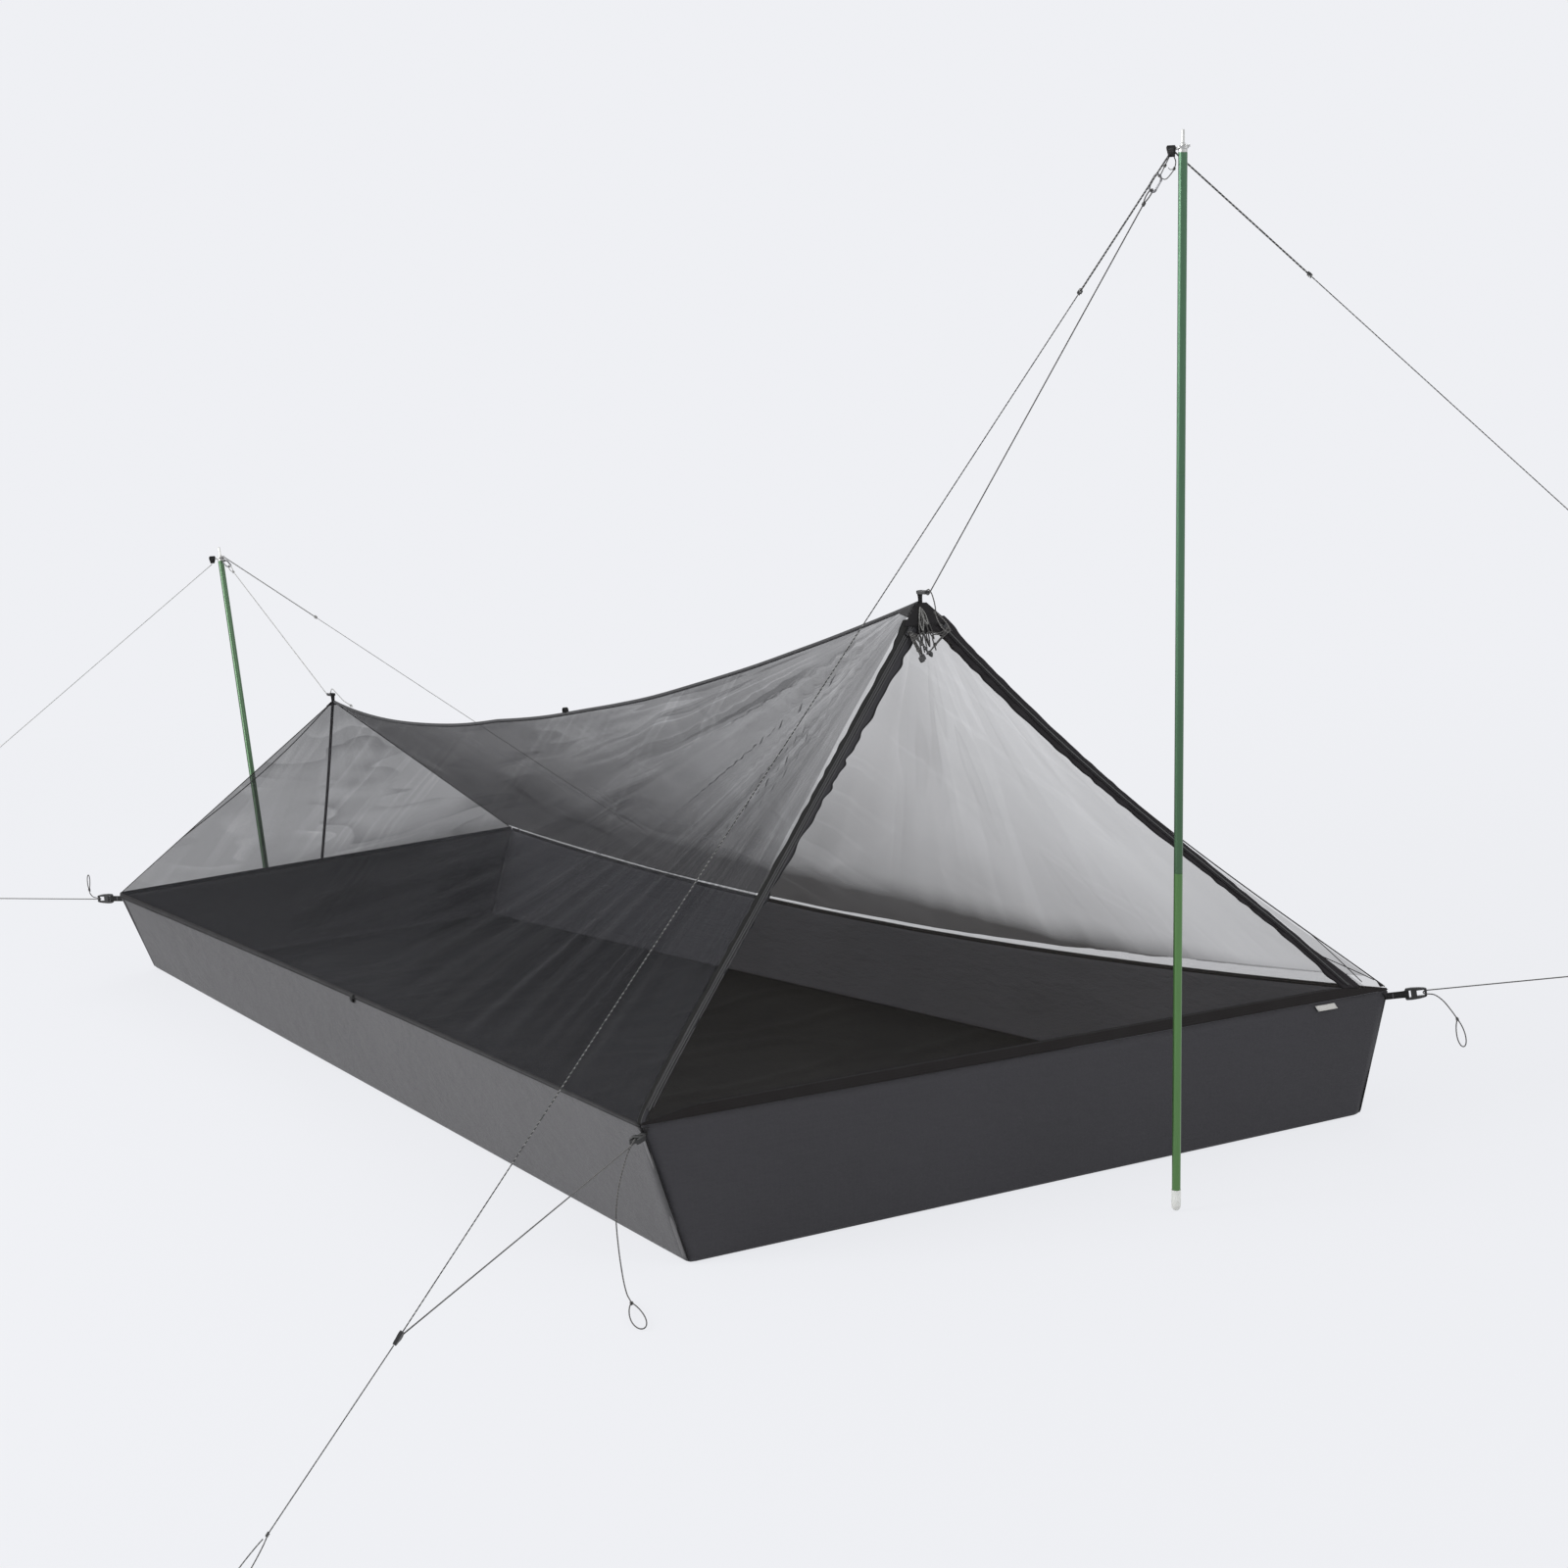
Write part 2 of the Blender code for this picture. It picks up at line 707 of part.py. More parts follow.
def peak_webbing(name, plane, place, patch_low, patch_high, patch_thick, strap_base):
    half_low = 0.0
    outline = []
    for side, t in ((-1, patch_low), (1, patch_low), (1, patch_high), (-1, patch_high)):
        reach = (plane.half - peak_half) * (plane.peak_t - t) / plane.peak_t + 0.0036
        outline.append((plane.peak_s + side * reach, t))
    patch = prism(name, outline, patch_thick, plane.at)
    mm = 0.001 * peak_k
    slack = 0.00035
    bar_z = 1.3 * mm + slack
    ply = 0.0009
    half = 4.2 * mm
    front = -10.4 * mm + slack
    rear = -14.0 * mm - slack
    loop = [
        (rear - ply, -bar_z - 0.0040), (front + ply, -bar_z - 0.0040), (front + ply, bar_z + ply), (rear - ply, bar_z + ply),
    ]
    body = prism(name + "_loop", loop, 2 * half, lambda s, t, n: Vector((s, n, t)))
    body.matrix_world = place
    window = add_object(
        name + "_window",
        box_mesh((rear, -half - 0.001, -bar_z), (front, half + 0.001, bar_z)),
    )
    window.matrix_world = place
    stem = add_object(name + "_stem", box_mesh((-0.0011, -half, strap_base), (0.0011, half, 0.0)))
    stem.matrix_world = place @ Matrix.Translation(Vector(((front + rear) / 2, 0.0, -bar_z - 0.0030)))
    for helper in (body, window, stem):
        helper.hide_render = True
        helper.display_type = "WIRE"
    for helper, operation in ((body, "UNION"), (stem, "UNION"), (window, "DIFFERENCE")):
        join = patch.modifiers.new(helper.name, "BOOLEAN")
        join.operation = operation
        join.solver = "EXACT"
        join.object = helper
    return paint(patch, (0.026, 0.026, 0.028), 0.75)


head_place = frame_at(
    Vector((head_peak.x - peak_strap_x + 0.0002, 0.0, head_peak.z + peak_tensioner_z)),
    Vector((1, 0, 0)),
    Vector((0, 0, 1)),
)
peak_frames["head"] = head_place
tensioner("head_tensioner", head_place, peak_k)
peak_webbing(
    "head_webbing", door, head_place, door.peak_t - zip_stop_top + gap, door.peak_t - 0.0030, zip_thick, -0.0150
)
foot_place = frame_at(
    Vector((foot_peak.x + peak_strap_x - 0.0002, 0.0, foot_peak.z + 0.0115)),
    Vector((-1, 0, 0)),
    Vector((0, 0, 1)),
)
peak_frames["foot"] = foot_place
tensioner("foot_tensioner", foot_place, peak_k)


# Poles
def pole_matrix(low, high):
    z = (high - low).normalized()
    x = Vector((1, 0, 0)) - z * z.x
    x = x.normalized()
    y = z.cross(x)
    turn = Matrix((x, y, z)).transposed()
    return Matrix.Translation(low) @ turn.to_4x4()


bore = pole_radius - pole_wall
spigot = bore - plug_fit
spigot_bore = spigot - pole_wall
tip_radius = 0.0055
foot_tube = 0.020
foot_plug = 0.018


def pole_foot(name, turn):
    profile = [
        (0.0, foot_tube + foot_plug),
        (spigot - 0.0006, foot_tube + foot_plug),
        (spigot, foot_tube + foot_plug - 0.0006),
        (spigot, foot_tube),
        (tip_radius, foot_tube),
        (tip_radius, 0.0010),
    ]
    for i in range(1, 9):
        angle = math.radians(90 * i / 8)
        profile.append((0.005 * math.cos(angle), -0.005 * math.sin(angle)))
    profile[-1] = (0.0, -0.005)
    foot = turned(name, profile, False)
    foot.matrix_world = turn
    return paint(foot, (0.82, 0.84, 0.81), 0.35)


def pole_pin(name, turn, length):
    top = length + gap
    profile = [
        (0.0, top + cap_height + collar_length + pin_length),
        (pin_radius - 0.0007, top + cap_height + collar_length + pin_length),
        (pin_radius, top + cap_height + collar_length + pin_length - 0.0009),
        (pin_radius, top + cap_height + collar_length),
        (collar_radius, top + cap_height + collar_length - 0.0004),
        (collar_radius, top + cap_height),
        (cap_radius, top + cap_height),
        (cap_radius, top),
        (spigot, top),
        (spigot, top - 0.012),
        (spigot - 0.0005, top - 0.0125),
        (0.0, top - 0.0125),
    ]
    pin = turned(name, profile, False)
    pin.matrix_world = turn
    return paint(pin, (0.62, 0.62, 0.60), 0.30, 0.9)


def pole_tube(name, turn, low, high, with_spigot):
    if with_spigot:
        profile = [
            (spigot, high + spigot_length),
            (spigot, high),
            (pole_radius, high),
            (pole_radius, low),
            (bore, low),
            (bore, high - 0.002),
            (spigot_bore, high),
            (spigot_bore, high + spigot_length),
        ]
    else:
        profile = [(pole_radius, high), (pole_radius, low), (bore, low), (bore, high)]
    tube = turned(name, profile, True)
    tube.matrix_world = turn
    return tube


front_turn = pole_matrix(front_pole_foot, front_pole_tip)
front_length = (front_pole_tip - front_pole_foot).length
rise = front_length / (front_pole_tip.z - front_pole_foot.z)
low_joint = (pole_joint_low - front_pole_foot.z) * rise
high_joint = (pole_joint_high - front_pole_foot.z) * rise
paint(pole_tube("front_pole_lower", front_turn, foot_tube + gap, low_joint, True), (0.085, 0.30, 0.075), 0.28, 0.85)
paint(
    pole_tube("front_pole_middle", front_turn, low_joint + gap, high_joint, True), (0.050, 0.19, 0.070), 0.28, 0.85
)
paint(
    pole_tube("front_pole_upper", front_turn, high_joint + gap, front_length, False), (0.045, 0.18, 0.070), 0.28, 0.85
)
pole_foot("front_pole_foot", front_turn)
pole_pin("front_pole_pin", front_turn, front_length)
rear_turn = pole_matrix(rear_pole_foot, rear_pole_tip)
rear_length = (rear_pole_tip - rear_pole_foot).length
paint(pole_tube("rear_pole_tube", rear_turn, foot_tube + gap, rear_length, False), (0.050, 0.19, 0.070), 0.28, 0.85)
pole_foot("rear_pole_foot", rear_turn)
pole_pin("rear_pole_pin", rear_turn, rear_length)


# Split ring round the pin at each pole top
def pole_ring(name, turn, length):
    data = bpy.data.meshes.new(name)
    points = []
    faces = []
    around = 28
    wire_sides = 8
    for i in range(around):
        a = 2 * math.pi * i / around
        for j in range(wire_sides):
            b = 2 * math.pi * j / wire_sides
            r = ring_major + ring_wire * math.cos(b)
            points.append((r * math.cos(a), r * math.sin(a), ring_wire * math.sin(b)))
    for i in range(around):
        for j in range(wire_sides):
            i2 = (i + 1) % around
            j2 = (j + 1) % wire_sides
            faces.append((i * wire_sides + j, i2 * wire_sides + j, i2 * wire_sides + j2, i * wire_sides + j2))
    data.from_pydata(points, [], faces)
    data.update()
    ring = smooth(add_object(name, data))
    ring.matrix_world = turn @ Matrix.Translation(Vector((0, 0, length + ring_lift)))
    return paint(ring, (0.55, 0.55, 0.54), 0.28, 0.95)


ring_rest = math.sqrt((ring_wire + gap) ** 2 - (ring_major - cap_radius) ** 2) + 0.0001
ring_lift = gap + cap_height + ring_rest
pole_ring("front_pole_ring", front_turn, front_length)
pole_ring("rear_pole_ring", rear_turn, rear_length)
front_ring_centre = front_turn @ Vector((0, 0, front_length + ring_lift))
rear_ring_centre = rear_turn @ Vector((0, 0, rear_length + ring_lift))


# Webbing tab beside the ring
tab_half = 0.0055
tab_low_half = 0.0036
tab_height = 0.0125
tab_thick = 0.0016


def pole_tab(name, centre, away):
    along = Vector((away[0], away[1], 0.0)).normalized()
    side = Vector((-along.y, along.x, 0.0))
    outline = [
        (-tab_low_half, -tab_height / 2),
        (tab_low_half, -tab_height / 2),
        (tab_half, tab_height / 2 - 0.002),
        (tab_half - 0.0008, tab_height / 2),
        (-tab_half + 0.0008, tab_height / 2),
        (-tab_half, tab_height / 2 - 0.002),
    ]
    tab = prism(name, outline, tab_thick, lambda s, t, n: centre + along * s + Vector((0, 0, t)) + side * n)
    return paint(tab, (0.018, 0.018, 0.019), 0.7)


front_away = Vector((-0.917, -0.399, 0.0))
tab_distance = ring_major + ring_wire + gap + 0.0002 + tab_half
front_tab_centre = front_ring_centre + front_away * tab_distance + Vector((0, 0, -0.0045))
pole_tab("front_pole_tab", front_tab_centre, front_away)
rear_away = Vector((-0.08, -0.997, 0.0))
rear_tab_centre = rear_ring_centre + rear_away * tab_distance + Vector((0, 0, -0.0030))
pole_tab("rear_pole_tab", rear_tab_centre, rear_away)

# Small spring-gate hook hung on a cord loop
hook_rod = 0.0013
hook_half = 0.0110
hook_wide = 0.0046
gate_rod = 0.0011
gate_top = -0.0050
gate_low = 0.0044
loop_cord = 0.0006
hook_frames = {}


def hook_set(name, anchor, direction, plane_normal, reach, spread):
    along = direction.normalized()
    normal = (plane_normal - along * along.dot(plane_normal)).normalized()
    turn = frame_at(anchor + along * (reach + hook_half), along, normal)
    hook_frames[name] = turn
    straight = hook_half - hook_wide
    path = [(gate_low + gate_rod + gap, -hook_wide)]
    for i in range(9):
        angle = math.radians(-90 + 180 * i / 8)
        path.append((straight + hook_wide * math.cos(angle), hook_wide * math.sin(angle)))
    for i in range(9):
        angle = math.radians(90 + 180 * i / 8)
        path.append((-straight + hook_wide * math.cos(angle), hook_wide * math.sin(angle)))
    if path[-1][0] < gate_top - gate_rod - gap - 0.0001:
        path.append((gate_top - gate_rod - gap, -hook_wide))
    stations = [(Vector((x, y, 0.0)), hook_rod) for x, y in path]
    hook = cord(name + "_hook", stations, hook_rod)
    hook.data.bevel_resolution = 3
    hook.matrix_world = turn
    paint(hook, (0.30, 0.30, 0.31), 0.35, 0.8)

    stations = []
    for i in range(5):
        angle = math.radians(88 * (1 - i / 5))
        stations.append((Vector((-gate_rod * math.sin(angle), 0.0, 0.0)), gate_rod * math.cos(angle)))
    stations.append((Vector((0.0, 0.0, 0.0)), gate_rod))
    length = gate_low - gate_top
    stations.append((Vector((length, 0.0, 0.0)), gate_rod))
    for i in range(1, 6):
        angle = math.radians(88 * i / 5)
        stations.append((Vector((length + gate_rod * math.sin(angle), 0.0, 0.0)), gate_rod * math.cos(angle)))
    gate = cord(name + "_gate", stations, gate_rod)
    gate.data.bevel_resolution = 3
    gate.matrix_world = turn @ Matrix.Translation(Vector((gate_top, -hook_wide, 0.0)))
    paint(gate, (0.42, 0.42, 0.43), 0.32, 0.85)

    round_radius = hook_rod + gap + loop_cord + 0.0002
    local = []
    start_x = -hook_half - reach
    local.append(Vector((start_x, 0.0, spread)))
    local.append(Vector((start_x * 0.45 + -hook_half * 0.55, 0.0, spread * 0.4 + round_radius * 0.6)))
    for i in range(9):
        angle = math.radians(90 - 180 * i / 8)
        local.append(Vector((-hook_half + round_radius * math.cos(angle), 0.0, round_radius * math.sin(angle))))
    local.append(Vector((start_x * 0.45 + -hook_half * 0.55, 0.0, -spread * 0.4 - round_radius * 0.6)))
    local.append(Vector((start_x, 0.0, -spread)))
    stations = [(turn @ p, loop_cord) for p in local]
    loop = cord(name + "_hook_loop", stations, loop_cord)
    paint(loop, (0.24, 0.24, 0.24), 0.7)


head_bar = head_place @ Vector((11.5 * 0.001 * peak_k, 0.0, 0.0))
foot_bar = foot_place @ Vector((11.5 * 0.001 * peak_k, 0.0, 0.0))
front_loop_root = front_tab_centre + front_away * 0.0030 + Vector((0, 0, -tab_height / 2 - 0.0010))
front_chain = (head_bar - front_loop_root).normalized()
hook_set("front", front_loop_root, front_chain, Vector((-0.399, 0.917, 0.0)), 0.0240, 0.0012)
rear_ring_side = rear_turn @ Vector((ring_major, 0, rear_length + ring_lift))
rear_chain = (foot_bar - rear_ring_side).normalized()
rear_loop_root = rear_ring_side + rear_chain * (ring_wire + gap)
hook_set("rear", rear_loop_root, rear_chain, Vector((0.403, 0.0, 0.915)), 0.0110, 0.0009)


# Ridge lines: a loop on the hook, a taut run, a turn round the tensioner bar, a tail
def chain_line(name, key, place, last, main_y, tail_y, tail, tail_loop):
    turn = hook_frames[key]
    tip = turn @ Vector((hook_half - hook_rod - gap - cord_radius - 0.0002, 0.0, 0.0))
    knot = turn @ Vector((hook_half + 0.0170, 0.0, 0.0))
    side = turn.to_3x3() @ Vector((0, 0, 1))
    turns = []
    target = place @ Vector((11.5 * 0.001 * peak_k, 0.0, 0.0))
    local = place.inverted().to_3x3() @ (knot - target)
    angle = math.degrees(math.atan2(local.z, local.x))
    turns = wrap(place, peak_k, angle, last, main_y, tail_y)
    back = loop_end(knot, tip, side, 0.0052, cord_radius, 0.60)
    back.reverse()
    toward = (turns[0] - knot).normalized()
    stations = back + knot_at(knot + toward * 0.0016, toward, cord_radius, 0.0017)
    stations = stations + span(knot, turns[0], 0.0060, 0.0040, 14, cord_radius)
    stations = stations + [(p, cord_radius) for p in turns]
    stations = stations + [(p, cord_radius) for p in tail]
    if tail_loop:
        knot_point, loop_tip, loop_side, width = tail_loop
        d = (loop_tip - knot_point).normalized()
        stations = stations + knot_at(knot_point - d * 0.0020, d, cord_radius, 0.0019)
        stations = stations + loop_end(knot_point, loop_tip, loop_side, width, cord_radius)
    else:
        d = (tail[-1] - tail[-2]).normalized()
        stations = stations + [(tail[-1] + d * 0.0015, 0.0017), (tail[-1] + d * 0.0040, 0.0017)]
        stations = stations + [(tail[-1] + d * 0.0050, cord_radius), (tail[-1] + d * 0.0110, cord_radius)]
    line = cord(name, stations, cord_radius)
    return paint(line, (0.16, 0.16, 0.16), 0.75)


front_tail = [
    Vector((0.8700, -0.0022, 0.6978)),
    Vector((0.8765, -0.0026, 0.6930)),
    Vector((0.8815, -0.0030, 0.6845)),
    Vector((0.8838, -0.0030, 0.6760)),
]
chain_line(
    "front_line", "front", head_place, -270, 0.0013, -0.0013, front_tail,
    (Vector((0.8850, -0.0030, 0.6700)), Vector((0.9110, -0.0030, 0.6490)), Vector((0, 1, 0.4)), 0.0048),
)
rear_tail = [
    Vector((-0.9485, -0.0022, 0.4300)),
    Vector((-0.9440, -0.0030, 0.4325)),
    Vector((-0.9370, -0.0040, 0.4325)),
    Vector((-0.9250, -0.0058, 0.4300)),
    Vector((-0.9050, -0.0085, 0.4255)),
    Vector((-0.8800, -0.0115, 0.4195)),
    Vector((-0.8500, -0.0135, 0.4150)),
]
chain_line("rear_line", "rear", foot_place, -180, 0.0013, -0.0013, rear_tail, None)

# Front guys
front_side = Vector((-front_away.y, front_away.x, 0.0))
near_start = front_tab_centre + front_away * 0.0018 + Vector((0, 0, -0.0040)) + front_side * (tab_thick / 2 + gap + 0.0008)
if front_side.y > 0:
    near_start = near_start - front_side * 2 * (tab_thick / 2 + gap + 0.0008)
body_centre = junction


def guy(name, start, finish, thick_run, last, tail_knot, tail_tip, colour):
    d = (finish - start).normalized()
    knot = start + d * thick_run
    stations = span(start, knot, 0.0, 0.0030, 5, guy_thick)
    stations = stations + [(knot - d * 0.0022, 0.0021), (knot, 0.0024), (knot + d * 0.0022, 0.0021)]
    stations = stations + span(knot, finish, 0.0030, last, 14, guy_thin)
    if tail_knot is not None:
        stations = stations + knot_at(tail_knot - d * 0.0020, d, guy_thin, 0.0018)
        stations = stations + loop_end(tail_knot, tail_tip, Vector((0.6, 0.0, 0.8)), 0.0075, guy_thin)
    obj = cord(name, stations, guy_thick)
    return paint(obj, colour, 0.75)


guy_colour = (0.17, 0.17, 0.17)

# Line adjuster where the near guy divides, one lobe towards each of its three lines
to_guy = (near_start - junction).normalized()
corner_front = corner_frames["near_head"] @ Vector((0.0115, 0.0, 0.0))
to_corner = (corner_front - junction).normalized()
to_stake = (near_stake - junction).normalized()
normal = to_guy.cross(to_corner).normalized()
plate_place = frame_at(junction, to_stake, normal)
adjuster_points = []
for i in range(24):
    angle = 2 * math.pi * i / 24
    r = 0.0064 + 0.0014 * math.cos(3 * angle)
    adjuster_points.append((r * math.cos(angle), r * math.sin(angle)))
adjuster = prism("junction_tensioner", adjuster_points, 0.0032, lambda s, t, n: Vector((s, t, n)))
adjuster.matrix_world = plate_place
paint(adjuster, (0.014, 0.014, 0.015), 0.42)


def adjuster_edge(direction):
    local = plate_place.inverted().to_3x3() @ direction
    angle = math.atan2(local.y, local.x)
    return 0.0064 + 0.0014 * math.cos(3 * angle) + gap + 0.0003


guy("near_front_guy", near_start, junction, 0.213, adjuster_edge(to_guy), None, None, guy_colour)
far_start = front_tab_centre - front_away * 0.0010 + Vector((0, 0, 0.0005))
far_side = front_side if front_side.y > 0 else -front_side
far_start = far_start + far_side * (tab_thick / 2 + gap + 0.0011)
far_exit = Vector((1.4358, 0.5206, 0.7476))
far_dir = (far_exit - far_start).normalized()
guy(
    "far_front_guy", far_start, far_exit + far_dir * 0.012, 0.210, 0.0045,
    far_exit + far_dir * 0.012, far_exit + far_dir * 0.075, guy_colour,
)

# The line from the adjuster down to the stake
stake_dir = to_stake
stake_knot = junction + stake_dir * 0.208
stations = span(junction, stake_knot, adjuster_edge(to_stake), 0.0050, 6, guy_thin)
stations = stations + knot_at(stake_knot - stake_dir * 0.0020, stake_dir, guy_thin, 0.0020)
stations = stations + loop_end(stake_knot, near_stake, Vector((0.9, 0.25, 0.0)), 0.0095, guy_thin)
stake_line = cord("near_front_stake_line", stations, guy_thin)
paint(stake_line, guy_colour, 0.75)


# Corner cords: far end, turn round the tensioner bar, tail
def corner_cord(name, key, first, last, main_y, tail_y, tail, tail_loop):
    place = corner_frames[key]
    turns = wrap(place, 1.0, 0.0, last, main_y, tail_y)
    stations = list(first)
    stations = stations + [(first[-1][0].lerp(turns[0], i / 8), cord_radius) for i in range(1, 8)]
    stations = stations + [(p, cord_radius) for p in turns]
    stations = stations + [(p, cord_radius) for p in tail]
    knot_point, loop_tip, loop_side, width = tail_loop
    d = (loop_tip - knot_point).normalized()
    stations = stations + knot_at(knot_point - d * 0.0020, d, cord_radius, 0.0019)
    stations = stations + loop_end(knot_point, loop_tip, loop_side, width, cord_radius)
    obj = cord(name, stations, cord_radius)
    return paint(obj, guy_colour, 0.75)


def beyond_view(place, leave, main_y, past, length):
    front = place @ Vector((0.0115, main_y, -(0.00213 + 0.00035 + cord_radius)))
    out = (leave - front).normalized()
    knot = leave + out * past
    tip = leave + out * (past + length)
    stations = loop_end(knot, tip, Vector((0, 0, 1)), 0.0075, cord_radius)
    stations.reverse()
    return stations + knot_at(knot - out * 0.0020, -out, cord_radius, 0.0018)


near_place = corner_frames["near_head"]
near_first = near_place @ Vector((0.0115, -0.0014, -(0.00213 + 0.00035 + cord_radius)))
near_out = (near_first - junction).normalized()
near_from = [(junction + near_out * adjuster_edge(near_out), cord_radius)]
near_tail = [
    near_place @ Vector((0.0150, 0.0016, 0.0030)),
    Vector((1.0945, -0.5700, 0.1560)),
    Vector((1.0965, -0.5790, 0.1400)),
    Vector((1.0955, -0.5870, 0.1150)),
    Vector((1.0945, -0.5915, 0.0850)),
    Vector((1.0985, -0.5930, 0.0500)),
    Vector((1.1070, -0.5945, 0.0200)),
    Vector((1.1180, -0.5970, 0.0060)),
    Vector((1.1300, -0.6000, 0.0024)),
]
corner_cord(
    "near_head_cord", "near_head", near_from, -270, -0.0016, 0.0016, near_tail,
    (Vector((1.1450, -0.6055, 0.0024)), Vector((1.2300, -0.6390, 0.0012)), Vector((0.4, 0.9, 0.0)), 0.0095),
)
far_place = corner_frames["far_head"]
far_tail = [
    far_place @ Vector((0.0150, -0.0020, 0.0032)),
    Vector((1.0930, 0.5690, 0.1452)),
    Vector((1.1030, 0.5735, 0.1385)),
    Vector((1.1140, 0.5765, 0.1275)),
]
corner_cord(
    "far_head_cord", "far_head",
    beyond_view(far_place, Vector((1.2146, 0.7096, 0.1671)), 0.0016, 0.012, 0.060),
    -270, 0.0016, -0.0016, far_tail,
    (Vector((1.1225, 0.5785, 0.1165)), Vector((1.1310, 0.5800, 0.0840)), Vector((0.7, 0.7, 0.2)), 0.0062),
)
foot_corner = corner_frames["near_foot"]
foot_tail = [
    foot_corner @ Vector((0.0150, -0.0020, 0.0032)),
    foot_corner @ Vector((0.0200, -0.0040, 0.0045)),
    foot_corner @ Vector((0.0240, -0.0090, 0.0050)),
]
tail_root = foot_corner @ Vector((0.0250, -0.0160, 0.0052))
tail_tip = foot_corner @ Vector((0.0240, -0.0400, 0.0060))
corner_cord(
    "near_foot_cord", "near_foot",
    beyond_view(foot_corner, Vector((-1.2567, -0.5211, 0.1194)), 0.0016, 0.012, 0.060),
    -270, 0.0016, -0.0016, foot_tail,
    (tail_root, tail_tip, Vector((0.7, -0.7, 0.0)), 0.0055),
)

# Rear guys
rear_start = rear_tab_centre + rear_away * 0.0012 + Vector((0, 0, -tab_height / 2 - 0.0014))
near_rear_exit = Vector((-1.4614, -0.4347, 0.3122))
out = (near_rear_exit - rear_start).normalized()
stations = span(rear_start, near_rear_exit + out * 0.012, 0.0, 0.0045, 16, guy_thin)
knot = near_rear_exit + out * 0.012
stations = stations + knot_at(knot - out * 0.0020, out, guy_thin, 0.0018)
stations = stations + loop_end(knot, knot + out * 0.062, Vector((0.6, 0.0, 0.8)), 0.0075, guy_thin)
near_rear_guy = cord("near_rear_guy", stations, guy_thin)
paint(near_rear_guy, guy_colour, 0.75)
far_rear_stake = Vector((-1.528, 0.873, 0.0016))
ring_side = rear_ring_centre + Vector((0.0, ring_major, 0.0))
out = (far_rear_stake - ring_side).normalized()
far_rear_start = ring_side + out * (ring_wire + gap + 0.0001)
guy(
    "far_rear_guy", far_rear_start, far_rear_stake - out * 0.090, 0.213, 0.0045,
    far_rear_stake - out * 0.090, far_rear_stake, guy_colour,
)
peak_webbing(
    "foot_webbing", foot_plane, foot_place, foot_plane.peak_t - 0.0014, foot_plane.peak_t + 0.0002, 0.0008, -0.0081
)
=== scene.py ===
import math

import bpy
from mathutils import Matrix, Vector, noise


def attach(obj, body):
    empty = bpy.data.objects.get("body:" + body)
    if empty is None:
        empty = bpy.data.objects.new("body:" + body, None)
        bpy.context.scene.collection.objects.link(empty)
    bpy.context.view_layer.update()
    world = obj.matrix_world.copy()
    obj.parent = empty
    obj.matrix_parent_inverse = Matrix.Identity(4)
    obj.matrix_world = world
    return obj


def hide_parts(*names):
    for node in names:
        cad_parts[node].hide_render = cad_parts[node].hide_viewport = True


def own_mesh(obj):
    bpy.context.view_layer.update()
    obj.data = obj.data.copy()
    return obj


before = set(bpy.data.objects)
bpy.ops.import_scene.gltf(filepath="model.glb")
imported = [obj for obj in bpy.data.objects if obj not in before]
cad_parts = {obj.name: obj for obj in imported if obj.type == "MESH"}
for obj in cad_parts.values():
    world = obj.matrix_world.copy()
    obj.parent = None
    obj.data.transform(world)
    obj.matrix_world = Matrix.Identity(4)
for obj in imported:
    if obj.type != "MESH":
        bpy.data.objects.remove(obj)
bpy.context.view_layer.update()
root = "bivy"
fullTurn = 2 * math.pi
print("frame loaded")


def vec(*numbers):
    return Vector(numbers)


# Camera at the photograph's place, worked out from a 1600 x 1600 picture
cameraPlan = {
    "place": (4.51126, -2.33773, 1.14051),
    "yaw": 1.043547,
    "pitch": -0.153148,
    "roll": -0.059519,
    "focalPixels": 3708.626,
    "framePixels": 1600,
    "sensor": 36,
    "reach": 400,
}


# A placed frame from its three directions
def placed(origin, x, y, z):
    return Matrix.Translation(Vector(origin)) @ Matrix((x, y, z)).transposed().to_4x4()


def addCamera(plan):
    yaw = plan["yaw"]
    pitch = plan["pitch"]
    roll = plan["roll"]
    forward = vec(-math.sin(yaw) * math.cos(pitch), math.cos(yaw) * math.cos(pitch), math.sin(pitch))
    level = vec(math.cos(yaw), math.sin(yaw), 0)
    rise = level.cross(forward)
    right = level * math.cos(roll) + rise * math.sin(roll)
    up = rise * math.cos(roll) - level * math.sin(roll)
    data = bpy.data.cameras.new("camera")
    data.sensor_width = plan["sensor"]
    data.lens = plan["sensor"] * plan["focalPixels"] / plan["framePixels"]
    data.clip_end = plan["reach"]
    camera = bpy.data.objects.new("camera", data)
    camera.matrix_world = placed(plan["place"], right, up, -forward)
    bpy.context.scene.collection.objects.link(camera)
    bpy.context.scene.camera = camera


addCamera(cameraPlan)
print("camera placed")


# Small sums used all over
def ease(low, high, value):
    t = min(max((value - low) / (high - low), 0.0), 1.0)
    return t * t * (3 - 2 * t)


def arch(share):
    return math.sin(math.pi * share)


def rough(x, y, z):
    return noise.noise(vec(x, y, z))


def shares(count):
    return [i / count for i in range(count + 1)]


def crosswise(count):
    return [2 * k - 1 for k in shares(count)]


def between(low, high, share):
    return low + (high - low) * share


def frameAt(origin, xWay, zHint):
    x = Vector(xWay).normalized()
    y = Vector(zHint).cross(x).normalized()
    return placed(origin, x, y, x.cross(y))


